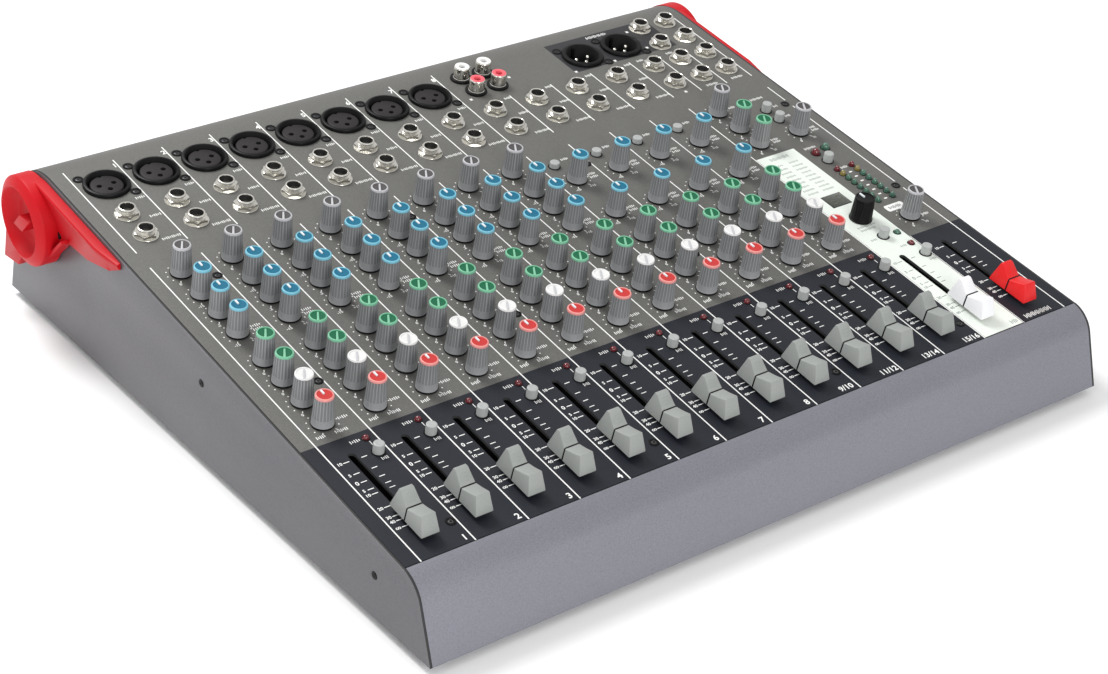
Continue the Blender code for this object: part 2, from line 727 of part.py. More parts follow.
def build_control_boards(materials, parts, tools):
    knobs, buttons = moving_knob_places(), moving_button_places()
    top, paint = CONTROL_BOARD_TOP, materials["circuit_board"]

    board = add_board("mono_control_board", top, paint, parts)
    fitted = bmesh.new()
    add_fixed_knobs(fitted, fixed_knob_places("mono"), top)
    add_pots(fitted, [place for name, place in knobs.items() if name.startswith("strip_1_")], top)
    add_tool(board, fitted, "UNION", tools)

    board = add_board("stereo_control_board", top, paint, parts)
    fitted = bmesh.new()
    add_fixed_knobs(fitted, fixed_knob_places("stereo"), top)
    add_fixed_buttons(fitted, fixed_button_places("stereo"), top)
    add_pots(fitted, [place for name, place in knobs.items() if name.startswith("strip_9_")], top)
    add_switches(fitted, [buttons["strip_9_level_switch"]], top)
    add_tool(board, fitted, "UNION", tools)

    board = add_board("master_board", top, paint, parts)
    fitted = bmesh.new()
    add_pots(fitted, list(MASTER_KNOBS.values()) + [EFFECT_SELECTOR], top)
    add_switches(fitted, list(MASTER_BUTTONS.values()), top)
    foot = top - BOARD_THICKNESS / 2
    add_block(fitted, grid_point(*DISPLAY[0], foot), grid_point(*DISPLAY[1], DISPLAY_FACE))
    for column in METER_COLUMNS:
        low = grid_point(column - METER_HALF, METER_ROWS[0], foot)
        high = grid_point(column + METER_HALF, METER_ROWS[1], DISPLAY_FACE)
        add_block(fitted, low, high)
    add_tool(board, fitted, "UNION", tools)


def build_fader_board(materials, parts, tools):
    board = add_board("fader_board", CONTROL_BOARD_TOP, materials["circuit_board"], parts)
    housings, tracks = bmesh.new(), bmesh.new()
    foot = CONTROL_BOARD_TOP - BOARD_THICKNESS / 2
    front, rear = SLOT_ROWS
    for column in fader_columns():
        aside = Vector((HOUSING_HALF, 0, 0))
        low = grid_point(column, front - HOUSING_END, foot)
        high = grid_point(column, rear + HOUSING_END, HOUSING_TOP)
        add_block(housings, low - aside, high + aside)
        aside = Vector((TRACK_HALF, 0, 0))
        low = grid_point(column, front - TRACK_END, TRACK_FLOOR)
        high = grid_point(column, rear + TRACK_END, 0)
        add_block(tracks, low - aside, high + aside)
    add_fixed_buttons(housings, fixed_button_places("listen"), CONTROL_BOARD_TOP)
    buttons = moving_button_places()
    names = ("strip_1_listen_button", "strip_9_listen_button", "effect_mute_button")
    add_switches(housings, [buttons[name] for name in names], CONTROL_BOARD_TOP)
    add_tool(board, housings, "UNION", tools)
    add_tool(board, tracks, "DIFFERENCE", tools)


def build_connector_board(materials, parts, tools):
    board = add_board("connector_board", CONNECTOR_BOARD_TOP, materials["socket_metal"], parts)
    foot = CONNECTOR_BOARD_TOP - BOARD_THICKNESS / 2
    shell = [
        (0, foot),
        (XLR_BODY, foot),
        (XLR_BODY, GAP),
        (XLR_RADIUS, GAP),
        (XLR_RADIUS, XLR_FLANGE),
    ]
    groove = 0.97 * XLR_BODY
    microphone_socket = shell + [
        (groove, XLR_FLANGE),
        (groove, -XLR_GROOVE_DEPTH),
        (XLR_FACE, -XLR_GROOVE_DEPTH),
        (XLR_FACE, 0),
        (0, 0),
    ]
    output_socket = shell + [(OUTPUT_BORE, XLR_FLANGE), (OUTPUT_BORE, -BORE_DEPTH), (0, -BORE_DEPTH)]
    jack = [
        (0, foot),
        (JACK_RADIUS, foot),
        (JACK_RADIUS, JACK_TOP),
        (JACK_BORE, JACK_TOP),
        (JACK_BORE, -BORE_DEPTH),
        (0, -BORE_DEPTH),
    ]
    phono = [
        (0, foot),
        (PHONO_RADIUS, foot),
        (PHONO_RADIUS, PHONO_TOP),
        (PHONO_BORE, PHONO_TOP),
        (PHONO_BORE, -PHONO_DEPTH),
        (0, -PHONO_DEPTH),
    ]
    fitted = bmesh.new()
    for place in microphone_places():
        add_turned(fitted, microphone_socket, XLR_SIDES, grid_frame(*place))
    for place in MAIN_OUTPUTS:
        add_turned(fitted, output_socket, XLR_SIDES, grid_frame(*place))
    for place in jack_places():
        add_turned(fitted, jack, FIXED_SIDES, grid_frame(*place))
    for place in PHONO_SOCKETS:
        add_turned(fitted, phono, FIXED_SIDES, grid_frame(*place))
    add_tool(board, fitted, "UNION", tools)


def build_power_supply(materials, parts, tools):
    """A small switching supply over the tray's floor behind the mains inlet."""
    across, along, up = SUPPLY_PLACE
    rear_edge = PANEL_FRONT + REAR_REACH
    place = Matrix.Translation((across, rear_edge + along, FLOOR + SHEET + up))
    width, depth, thickness = SUPPLY_BOARD
    bm = bmesh.new()
    add_block(bm, (-width / 2, -depth / 2, 0), (width / 2, depth / 2, thickness))
    mesh = finish_mesh(bm, "supply")
    supply = add_object("power_supply", mesh, materials["supply_metal"], parts, place)
    fitted = bmesh.new()
    for low, high, top in (TRANSFORMER, *HEAT_SINKS):
        add_block(fitted, (*low, thickness / 2), (*high, top))
    sideways, radius, top = CAPACITOR
    frame = Matrix.Translation((sideways, 0, 0))
    add_prism(fitted, radius, thickness / 2, top, CAPACITOR_SIDES, frame)
    add_tool(supply, fitted, "UNION", tools)


# Moving pieces


def knob_material(name):
    for ending, material in (
        ("phones_knob", "knob_grey"),
        ("gain_knob", "knob_grey"),
        ("tape_level_knob", "knob_grey"),
        ("monitor_level_knob", "knob_grey"),
        ("selector_knob", "knob_black"),
        ("effect_send_knob", "knob_white"),
        ("pan_knob", "knob_red"),
        ("balance_knob", "knob_red"),
        ("aux_1_knob", "knob_green"),
        ("aux_2_knob", "knob_green"),
    ):
        if name.endswith(ending):
            return material
    return "knob_blue"


def build_knobs(materials, parts):
    """Knobs with their shafts, each with its origin on its axis at the panel's surface."""
    for name, place in moving_knob_places().items():
        size = SELECTOR_SIZE if name == "effect_selector_knob" else KNOB_SIZE
        bm = bmesh.new()
        add_turned(bm, knob_profile(POT_TOP + GAP, size), MOVING_SIDES)
        mesh = finish_mesh(bm, name)
        smooth(add_object(name, mesh, materials[knob_material(name)], parts, panel_frame(*place)))


def build_buttons(materials, parts):
    """Push buttons, each with its origin on its axis at the panel's surface."""
    foot = SWITCH_TOP + BUTTON_TRAVEL + GAP
    for name, place in moving_button_places().items():
        bm = bmesh.new()
        add_prism(bm, BUTTON_RADIUS, foot, BUTTON_TOP, FIXED_SIDES)
        add_object(name, finish_mesh(bm, name), materials["button_grey"], parts, panel_frame(*place))


def cap_outline():
    """Side view of a fader cap: a high rear ridge, a valley, and a longer rise to the front ridge."""
    half, edge = CAP_LENGTH / 2, CAP_CLEARANCE + CAP_EDGE
    rear, rear_top = CAP_REAR_RIDGE
    front, front_top = CAP_FRONT_RIDGE
    valley, valley_floor = CAP_VALLEY
    return [
        (-half, CAP_CLEARANCE),
        (half, CAP_CLEARANCE),
        (half, edge),
        (rear, rear_top),
        (rear - CAP_RIDGE_WIDTH, rear_top),
        (valley + CAP_VALLEY_HALF, valley_floor),
        (valley - CAP_VALLEY_HALF, valley_floor),
        (front, front_top),
        (-half, edge),
    ]


def fader_name(strip):
    return {13: "effect_fader", 14: "main_fader"}.get(strip, f"fader_{strip}")


def build_faders(materials, parts, tools):
    """Fader caps with their stems, each with its origin over its slot at the closed end."""
    colours = {"effect_fader": "cap_white", "main_fader": "cap_red"}
    upright = Matrix((Vector((0, 1, 0)), Vector((0, 0, 1)), Vector((1, 0, 0)))).transposed().to_4x4()
    for strip, column in enumerate(fader_columns(), start=1):
        name = fader_name(strip)
        material = materials[colours.get(name, "cap_grey")]
        place = panel_frame(column, FADER_CLOSED_ROW)
        cap = add_flat_outline(name, cap_outline(), CAP_WIDTH, material, parts, place)
        cap.data.transform(Matrix.Translation((-CAP_WIDTH / 2, 0, 0)) @ upright)
        across, along = (size / 2 for size in STEM_SIZE)
        stem = bmesh.new()
        add_block(stem, (-across, -along, STEM_FOOT), (across, along, CAP_CLEARANCE + CAP_EDGE))
        add_tool(cap, stem, "UNION", tools)


def build_inlet(materials, parts, tools):
    """Mains inlet with a recess for its rocker switch, fitted from outside into the rear wall."""
    across, up = (size / 2 for size in INLET_SIZE)
    bm = bmesh.new()
    add_block(bm, (-across, -up, -INLET_DEPTH), (across, up, INLET_FACE))
    mesh, place = finish_mesh(bm, "inlet"), rear_frame(*INLET_CENTRE)
    inlet = add_object("mains_inlet", mesh, materials["black_plastic"], parts, place)
    rim = bmesh.new()
    low = (-across - INLET_RIM, -up - INLET_RIM, GAP)
    add_block(rim, low, (across + INLET_RIM, up + INLET_RIM, INLET_RIM_TOP))
    add_tool(inlet, rim, "UNION", tools)
    cuts = bmesh.new()
    add_block(cuts, *PLUG_RECESS)
    add_block(cuts, *ROCKER_RECESS)
    add_tool(inlet, cuts, "DIFFERENCE", tools)
    pins = bmesh.new()
    half_across, half_up = PIN_HALF
    foot, tip = PIN_ENDS
    for x, y in PIN_PLACES:
        add_block(pins, (x - half_across, y - half_up, foot), (x + half_across, y + half_up, tip))
    add_tool(inlet, pins, "UNION", tools)


def build_rocker(materials, parts):
    """Power rocker, with its origin on its pivot inside the inlet's recess, tipped to its off side."""
    half_across, half_up, half_depth = (size / 2 for size in ROCKER_SIZE)
    middle, end = ROCKER_FACE
    side_view = (
        (-half_up, end),
        (0, middle),
        (half_up, end),
        (half_up * 0.8, -half_depth),
        (-half_up * 0.8, -half_depth),
    )
    bm = bmesh.new()
    for x in (-half_across, half_across):
        for y, z in side_view:
            bm.verts.new((x, y, z))
    bmesh.ops.convex_hull(bm, input=bm.verts)
    frame = rear_frame(INLET_CENTRE[0] - ROCKER_PLACE, INLET_CENTRE[1], -ROCKER_PIVOT_DEPTH)
    tipped = frame @ Matrix.Rotation(ROCKER_TIP, 4, "X")
    add_object("power_rocker", finish_mesh(bm, "rocker"), materials["black_plastic"], parts, tipped)


def main():
    clear_scene()
    parts, tools = new_collection("mixing_console"), new_collection("cutters")
    materials = make_materials()
    build_tray(materials, parts, tools)
    build_top_panel(materials, parts, tools)
    build_cheeks(materials, parts)
    build_feet(materials, parts)
    build_guards(materials, parts, tools)
    build_control_boards(materials, parts, tools)
    build_fader_board(materials, parts, tools)
    build_connector_board(materials, parts, tools)
    build_power_supply(materials, parts, tools)
    build_knobs(materials, parts)
    build_buttons(materials, parts)
    build_faders(materials, parts, tools)
    build_inlet(materials, parts, tools)
    build_rocker(materials, parts)


main()
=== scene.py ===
"""The looks of a compact mixing console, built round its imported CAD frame.

Places on the sloping panel are given on its grid: a column and a row, in channel pitches, from the corner
where the line left of channel 1 meets the panel's front edge. The panel's own frame has X across, Y up the
slope and Z out of the panel. Distances are in metres unless a comment says otherwise.
"""

import json
import math

import bmesh
import bpy
from mathutils import Matrix, Vector


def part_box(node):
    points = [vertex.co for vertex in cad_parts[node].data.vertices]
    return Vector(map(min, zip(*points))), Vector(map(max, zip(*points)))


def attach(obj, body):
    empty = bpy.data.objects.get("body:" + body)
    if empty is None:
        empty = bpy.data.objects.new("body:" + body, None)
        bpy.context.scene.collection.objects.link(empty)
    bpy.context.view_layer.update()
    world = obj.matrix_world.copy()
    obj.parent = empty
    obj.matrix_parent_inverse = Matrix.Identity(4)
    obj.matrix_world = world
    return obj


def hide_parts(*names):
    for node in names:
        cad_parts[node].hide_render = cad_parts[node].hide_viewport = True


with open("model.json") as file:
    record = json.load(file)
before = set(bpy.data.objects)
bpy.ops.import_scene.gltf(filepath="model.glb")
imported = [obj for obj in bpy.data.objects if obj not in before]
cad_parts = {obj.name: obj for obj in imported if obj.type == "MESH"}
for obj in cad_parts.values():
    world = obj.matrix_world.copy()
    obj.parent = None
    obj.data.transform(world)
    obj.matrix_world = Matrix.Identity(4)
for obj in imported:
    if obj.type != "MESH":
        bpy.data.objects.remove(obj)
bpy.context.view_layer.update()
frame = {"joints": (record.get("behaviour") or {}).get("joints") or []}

MM = 0.001


def mm(*lengths):
    """Lengths in millimetres as metres."""
    return tuple(length * MM for length in lengths)


def in_mm(profile):
    """A profile of (radius, height, paint) points in millimetres as metres."""
    return [(radius * MM, height * MM, paint) for radius, height, paint in profile]


# The panel's grid, worked out from the frame

JOINTS = {joint["child"]: joint for joint in frame["joints"]}
KNOB_COLUMN = 0.402  # pitches from a strip's left line
GAIN_ROW = 8.08
CLOSED_ROW = 0.79  # where a closed fader stands
MONO_STRIPS = range(1, 9)
STEREO_STRIPS = range(9, 13)
CHANNELS = range(1, 13)

ACROSS = Vector((1, 0, 0))
UP_SLOPE = Vector(JOINTS["fader_1"]["axis"]).normalized()
OUT = ACROSS.cross(UP_SLOPE)
PITCH = (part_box("fader_12")[0].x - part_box("fader_1")[0].x) / 11
CORNER = Vector(JOINTS["strip_1_gain_knob"]["pos_m"]) - (ACROSS * KNOB_COLUMN + UP_SLOPE * GAIN_ROW) * PITCH
PANEL = Matrix.Translation(CORNER) @ Matrix((ACROSS, UP_SLOPE, OUT)).transposed().to_4x4()
TO_PANEL = PANEL.inverted()

# Rows of controls, in pitches
MONO_ROWS = {"gain": GAIN_ROW, "high": 7.37, "mid_frequency": 6.77, "mid": 6.16,
             "aux_1": 5.30, "aux_2": 4.70, "effect_send": 4.09, "pan": 3.47}
STEREO_ROWS = {"high": 7.37, "low": 6.16, "aux_1": 5.30, "aux_2": 4.70, "effect_send": 4.09,
               "balance": 3.47}
LISTEN_BUTTON = (0.815, 2.46)
STEREO_SWITCH = (0.285, 7.93)
PEAK_LIGHT = (0.815, 2.835)
SLOT_ROWS = (0.63, 2.64)
FADER_ZONE = 3.02  # rear edge of the dark zone round the faders
STRIP_COLUMNS = (12.02, 12.98)  # the white strip
STRIP_END = 6.37
OUTPUT_ZONE = ((10.75, 10.56), (13.38, 11.68))  # the dark patch round the main outputs
MICROPHONE_SOCKET = (0.520, 11.03)
MAIN_OUTPUTS = ((11.26, 11.02), (12.25, 11.02))
JACK_COLUMN = 0.41
JACK_ROWS = (10.06, 9.36)
MASTER_JACKS = {12.38: (10.07, 9.37), 13.07: (11.43, 10.73, 10.06, 9.36),
                13.73: (11.42, 10.74, 10.05, 9.36)}
PHONO_SOCKETS = {"white": ((8.48, 11.36), (9.0, 11.36)), "red": ((8.49, 10.84), (9.01, 10.84))}
METER_COLUMNS = (13.26, 13.64)
METER_ROWS = (4.12, 5.47)
METER_LIGHTS = 8
DISPLAY = ((12.30, 4.40), (12.76, 4.77))

# The case, from the frame's boxes
CHEEK_LOW, CHEEK_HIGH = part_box("left_side_panel")
HALF_WIDTH = -CHEEK_LOW.x
CHEEK = 1.2 * MM  # thickness of a side panel
PANEL_FRONT = CORNER.y
FLOOR = CHEEK_LOW.z
NOSE_REACH = PANEL_FRONT - CHEEK_LOW.y
REAR_REACH = CHEEK_HIGH.y - PANEL_FRONT
SHEET_HALF = HALF_WIDTH - 1.3 * MM  # leaves a gap beside each cheek, darkened by painted shade on the cheek's top
SHEET = 1.5 * MM
SHEET_GAP = 0.3 * MM  # half the gap between the tray and the top sheet
SEAM_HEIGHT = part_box("top_panel")[0].z - FLOOR
FRONT_LEAN = math.radians(15.8)
REAR_LEAN = math.radians(17.0)
NOSE_RADIUS = 0.573 * PITCH
FOLD_RADIUS = 1.3 * PITCH
CASE = Matrix.Translation((0, PANEL_FRONT, FLOOR))

# Controls
KNOB_RADIUS = 0.19 * PITCH
KNOB_TOP_RADIUS = 0.156 * PITCH
KNOB_TOP = 16.4 * MM
SELECTOR_SIZE = mm(5.75, 5.1, 13)
BUTTON_RADIUS = 2.6 * MM
BUTTON_TOP = 5 * MM
SWITCH_TOP = 3 * MM  # of the stereo strips' level switches
SLOT_WIDTH = 3.6 * MM
SLOT_HALF = (SLOT_ROWS[1] - SLOT_ROWS[0]) * PITCH / 2  # half a fader slot's length

# Radii of the holes in the top sheet
DIAL_HOLE = 3.6 * MM  # for a knob that stays with its board
KNOB_HOLE = 4.2 * MM  # for a knob that turns
SOCKET_HOLE = 10.9 * MM
JACK_HOLE = 5.0 * MM
PHONO_HOLE = 4.6 * MM
LAMP_HOLE = 1.6 * MM

INK = 0.04 * MM  # how proud the print stands


# Materials


def shade(colour, factor):
    return tuple(min(1.0, channel * factor) for channel in colour)


class Recipe:
    """A short way to wire a material's nodes."""

    def __init__(self, name):
        self.material = bpy.data.materials.new(name)
        self.material.use_nodes = True
        self.tree = self.material.node_tree
        self.shader = self.tree.nodes["Principled BSDF"]
        self.place = self.add("ShaderNodeTexCoord").outputs["Object"]

    def add(self, kind, **values):
        node = self.tree.nodes.new(kind)
        for key, value in values.items():
            setattr(node, key, value)
        return node

    def link(self, output, target):
        self.tree.links.new(output, target)

    def noise(self, scale, detail=3.0, stretch=None):
        node = self.add("ShaderNodeTexNoise")
        node.inputs["Scale"].default_value = scale
        node.inputs["Detail"].default_value = detail
        node.inputs["Roughness"].default_value = 0.55
        source = self.place
        if stretch is not None:
            mapping = self.add("ShaderNodeMapping")
            mapping.inputs["Scale"].default_value = stretch
            self.link(self.place, mapping.inputs["Vector"])
            source = mapping.outputs["Vector"]
        self.link(source, node.inputs["Vector"])
        return node.outputs["Fac"]

    def ramp(self, factor, stops):
        node = self.add("ShaderNodeValToRGB")
        elements = node.color_ramp.elements
        while len(elements) < len(stops):
            elements.new(0.5)
        for element, (position, colour) in zip(elements, stops):
            element.position = position
            element.color = (*colour, 1.0)
        self.link(factor, node.inputs["Fac"])
        return node.outputs["Color"]

    def spread(self, factor, low, high):
        node = self.add("ShaderNodeMapRange")
        node.inputs["From Min"].default_value = 0.3
        node.inputs["From Max"].default_value = 0.7
        node.inputs["To Min"].default_value = low
        node.inputs["To Max"].default_value = high
        self.link(factor, node.inputs["Value"])
        return node.outputs["Result"]

    def product(self, first, second):
        node = self.add("ShaderNodeMix", data_type="RGBA", blend_type="MULTIPLY")
        node.inputs["Factor"].default_value = 1.0
        self.link(first, node.inputs["A"])
        self.link(second, node.inputs["B"])
        return node.outputs["Result"]

    def bump(self, height, depth):
        node = self.add("ShaderNodeBump")
        node.inputs["Distance"].default_value = depth
        self.link(height, node.inputs["Height"])
        self.link(node.outputs["Normal"], self.shader.inputs["Normal"])


def speckled(name, colour, roughness, *, metallic=0.0, grain=1500, contrast=0.10, cloud=0.04,
             depth=0.02 * MM,
             coat=0.0, specular=0.5):
    """Paint or moulded plastic: fine speckle over slow clouds of tone, uneven gloss and a fine bump."""
    recipe = Recipe(name)
    fine = recipe.noise(grain)
    slow = recipe.noise(14, detail=2)
    speck = recipe.ramp(fine, [(0.30, shade(colour, 1 - contrast)), (0.70, shade(colour, 1 + contrast))])
    drift = recipe.ramp(slow, [(0.35, (1 - cloud,) * 3), (0.65, (1.0,) * 3)])
    recipe.link(recipe.product(speck, drift), recipe.shader.inputs["Base Color"])
    recipe.link(recipe.spread(slow, roughness - 0.05, roughness + 0.05), recipe.shader.inputs["Roughness"])
    recipe.shader.inputs["Metallic"].default_value = metallic
    recipe.shader.inputs["Coat Weight"].default_value = coat
    recipe.shader.inputs["Coat Roughness"].default_value = 0.15
    recipe.shader.inputs["Specular IOR Level"].default_value = specular
    recipe.bump(fine, depth)
    return recipe.material


def brushed(name, colour, roughness):
    """Plated metal with fine lines, faint stains and a little wear."""
    recipe = Recipe(name)
    lines = recipe.noise(2500, detail=2, stretch=(1, 1, 0.08))
    stain = recipe.noise(180, detail=3)
    tone = recipe.ramp(lines, [(0.3, shade(colour, 0.86)), (0.7, colour)])
    dirt = recipe.ramp(stain, [(0.30, (0.80,) * 3), (0.60, (1.0,) * 3)])
    recipe.link(recipe.product(tone, dirt), recipe.shader.inputs["Base Color"])
    recipe.link(recipe.spread(stain, roughness + 0.08, roughness - 0.04), recipe.shader.inputs["Roughness"])
    recipe.shader.inputs["Metallic"].default_value = 1.0
    recipe.bump(lines, 0.01 * MM)
    return recipe.material


# Colour and roughness of each painted or coated surface, and what differs from the usual speckle
PAINTED = {
    "panel": ((0.114, 0.112, 0.104), 0.52, dict(metallic=0.15, grain=1900, contrast=0.24)),
    "case": ((0.132, 0.130, 0.140), 0.44, dict(metallic=0.40, grain=1700, contrast=0.14)),
    # the tray's paint: the case paint made lighter, a painted highlight for the stronger light on the case's
    # front
    "nose": ((0.215, 0.216, 0.248), 0.42, dict(metallic=0.45, grain=1700, contrast=0.14)),
    "navy": ((0.008, 0.010, 0.016), 0.52, dict(grain=1900, contrast=0.25, specular=0.3)),
    "patch": ((0.022, 0.022, 0.025), 0.50, dict(grain=1900, contrast=0.20, specular=0.35)),
    "white_strip": ((0.72, 0.77, 0.71), 0.48, dict(grain=1900, contrast=0.05)),
    # near black on the sheet's cut edges and the cheeks' tops: painted shade for the gaps along the panel's
    # sides
    "painted_edge_shade": ((0.020, 0.020, 0.021), 0.6, dict()),
    # dark grey: painted shade on the fader slots' walls, and the panel screws' own head colour
    "slot_shade_and_screw_grey": ((0.045, 0.046, 0.046), 0.5, dict()),
    "ink": ((0.80, 0.80, 0.78), 0.55, dict(contrast=0.06)),
    "grey_ink": ((0.27, 0.29, 0.28), 0.6, dict(contrast=0.10)),
    "dark_ink": ((0.06, 0.065, 0.065), 0.6, dict(contrast=0.10)),
    "red_plastic": ((0.50, 0.004, 0.010), 0.44, dict(grain=1300, contrast=0.05, cloud=0.08, depth=0.03 * MM,
                                                     specular=0.18)),
    "rubber": ((0.018, 0.018, 0.018), 0.85, dict(grain=900, contrast=0.3, depth=0.05 * MM)),
    "red_lens": ((0.12, 0.003, 0.008), 0.14, dict(coat=0.6, grain=900)),
    "amber_lens": ((0.22, 0.17, 0.04), 0.18, dict(coat=0.6, grain=900)),
    "green_lens": ((0.045, 0.130, 0.088), 0.16, dict(coat=0.6, grain=900)),
    "window": ((0.020, 0.026, 0.016), 0.08, dict(coat=1.0, grain=700, contrast=0.3)),
    "segment": ((0.075, 0.085, 0.055), 0.2, dict(grain=700)),
    "board": ((0.020, 0.12, 0.045), 0.45, dict(grain=400, contrast=0.35, coat=0.3)),
}
MOULDED_GRAIN = dict(grain=2600, contrast=0.05, depth=0.012 * MM)
# Colour, roughness and specular level of the moulded plastics
MOULDED = {
    "black": ((0.004, 0.004, 0.004), 0.42, 0.16),
    "socket_black": ((0.004, 0.004, 0.004), 0.40, 0.15),
    "socket_face": ((0.024, 0.021, 0.022), 0.5, 0.15),
    "bore": ((0.004, 0.004, 0.004), 0.7, 0.5),
    "knob_body": ((0.29, 0.297, 0.305), 0.36, 0.5),
    # the knob body made darker for its flutes' walls, painted shade in the grooves
    "knob_groove_shade": ((0.205, 0.210, 0.216), 0.45, 0.5),
    "knob_top_grey": ((0.46, 0.46, 0.48), 0.45, 0.5),
    "insert_grey": ((0.050, 0.046, 0.046), 0.5, 0.5),
    "knob_top_blue": ((0.17, 0.46, 0.58), 0.42, 0.5),
    "insert_blue": ((0.003, 0.120, 0.205), 0.45, 0.25),
    "knob_top_green": ((0.17, 0.46, 0.29), 0.42, 0.5),
    "insert_green": ((0.003, 0.110, 0.048), 0.45, 0.25),
    "knob_top_white": ((0.76, 0.76, 0.75), 0.42, 0.5),
    "insert_white": ((0.68, 0.68, 0.67), 0.42, 0.5),
    "knob_top_red": ((0.72, 0.27, 0.25), 0.42, 0.5),
    "insert_red": ((0.48, 0.030, 0.028), 0.45, 0.25),
    "pointer": ((0.66, 0.70, 0.72), 0.45, 0.5),
    "cap_grey": ((0.285, 0.300, 0.288), 0.46, 0.35),
    "cap_white": ((0.80, 0.80, 0.82), 0.40, 0.5),
    "cap_red": ((0.68, 0.010, 0.012), 0.40, 0.35),
    "button": ((0.36, 0.375, 0.365), 0.42, 0.5),
    "phono_white": ((0.80, 0.80, 0.78), 0.35, 0.5),
    "phono_red": ((0.78, 0.10, 0.13), 0.35, 0.5),
}
# Colour and roughness of the plated metals
PLATED = {
    "nickel": ((0.80, 0.78, 0.72), 0.20),
    "steel": ((0.60, 0.60, 0.60), 0.32),
    "dark_steel": ((0.085, 0.085, 0.09), 0.32),
    "copper": ((0.72, 0.38, 0.20), 0.35),
}


def make_materials():
    made = {}
    for name, (colour, roughness, rest) in PAINTED.items():
        made[name] = speckled(name, colour, roughness, **rest)
    for name, (colour, roughness, specular) in MOULDED.items():
        made[name] = speckled(name, colour, roughness, specular=specular, **MOULDED_GRAIN)
    for name, (colour, roughness) in PLATED.items():
        made[name] = brushed(name, colour, roughness)
    return made


PAINT = make_materials()


# Mesh helpers. A face's material index counts the paints that its mesh is finished with.


def spot(column, row, turn=0.0):
    """The frame at a place on the grid, in the panel's frame, turned anticlockwise by degrees."""
    place = Matrix.Translation((column * PITCH, row * PITCH, 0))
    return place @ Matrix.Rotation(math.radians(turn), 4, "Z")


def settle(bm, faces, verts, placement, paint):
    """Finishes a newly made part of a mesh: its outside, its paint and its place."""
    faces = [face for face in faces if face.is_valid]
    if paint is not None:
        for face in faces:
            face.material_index = paint
    bmesh.ops.recalc_face_normals(bm, faces=faces)
    if placement is not None:
        bmesh.ops.transform(bm, matrix=placement, verts=verts)
        if placement.determinant() < 0:
            bmesh.ops.reverse_faces(bm, faces=faces)


def add_lathe(bm, profile, sides, placement=None, groove=None):
    """A body turned about Z from (radius, height, paint) points; the band after a point takes its paint.

    A point may carry a fourth number, the depth of the flutes at that height: every third corner is that much
    nearer the axis, and the walls of the flutes take the groove's paint, a darker paint that is painted shade
    in the flutes.
    """
    rings = []
    for radius, height, _, *flute in profile:
        if radius < 1e-7:
            rings.append([bm.verts.new((0, 0, height))])
            continue
        depth = flute[0] if flute else 0.0
        ring = []
        for side in range(sides):
            angle = 2 * math.pi * side / sides
            reach = radius - depth * (side % 3 == 2)
            ring.append(bm.verts.new((reach * math.cos(angle), reach * math.sin(angle), height)))
        rings.append(ring)
    faces = []
    for (lower, upper), (_, _, paint, *flute) in zip(zip(rings, rings[1:]), profile):
        # flute walls take the darker groove paint, painted shade
        wall = groove if any(flute) else paint
        for side in range(sides):
            ahead = (side + 1) % sides
            if len(lower) == 1:
                corners = (lower[0], upper[ahead], upper[side])
            elif len(upper) == 1:
                corners = (lower[side], lower[ahead], upper[0])
            else:
                corners = (lower[side], lower[ahead], upper[ahead], upper[side])
            face = bm.faces.new(corners)
            face.material_index = wall if side % 3 else paint
            faces.append(face)
    settle(bm, faces, [vert for ring in rings for vert in ring], placement, None)


def add_prism(bm, outline, bottom, top, placement=None, paint=0, bevel=0.0):
    """An upright prism from an outline, with its edges rounded if a bevel is given."""
    lower = [bm.verts.new((x, y, bottom)) for x, y in outline]
    upper = [bm.verts.new((x, y, top)) for x, y in outline]
    faces = [bm.faces.new(list(reversed(lower))), bm.faces.new(upper)]
    for index in range(len(outline)):
        ahead = (index + 1) % len(outline)
        faces.append(bm.faces.new((lower[index], lower[ahead], upper[ahead], upper[index])))
    verts = lower + upper
    if bevel:
        bmesh.ops.recalc_face_normals(bm, faces=faces)
        edges = [edge for edge in {edge for face in faces for edge in face.edges}
                 if edge.calc_face_angle(0) > math.radians(25)]
        made = bmesh.ops.bevel(bm, geom=edges, offset=bevel, segments=2, profile=0.5, affect="EDGES",
                               clamp_overlap=True)
        reach = {face for face in set(faces) | set(made["faces"]) if face.is_valid}
        while True:
            grown = {other for face in reach for edge in face.edges for other in edge.link_faces} - reach
            if not grown:
                break
            reach |= grown
        faces = list(reach)
        verts = list({vert for face in faces for vert in face.verts})
    settle(bm, faces, verts, placement, paint)


def add_block(bm, low, high, placement=None, paint=0, bevel=0.0):
    """A box between two corners, with its edges rounded if a bevel is given."""
    outline = [(low[0], low[1]), (high[0], low[1]), (high[0], high[1]), (low[0], high[1])]
    add_prism(bm, outline, low[2], high[2], placement, paint, bevel)


def circle(radius, sides, centre=(0, 0), start=0.0):
    steps = [2 * math.pi * step / sides + start for step in range(sides)]
    return [(centre[0] + radius * math.cos(angle), centre[1] + radius * math.sin(angle)) for angle in steps]


def to_mesh(bm, name, paints):
    """The finished mesh of a bmesh, with its paints as material slots."""
    mesh = bpy.data.meshes.new(name)
    bm.to_mesh(mesh)
    bm.free()
    for paint in paints:
        mesh.materials.append(PAINT[paint])
    return mesh


def stamp(name, mesh, placements, paints):
    """One mesh that holds a copy of another at each placement."""
    bm = bmesh.new()
    for placement in placements:
        copy = mesh.copy()
        copy.transform(placement)
        bm.from_mesh(copy)
        bpy.data.meshes.remove(copy)
    return to_mesh(bm, name, paints)


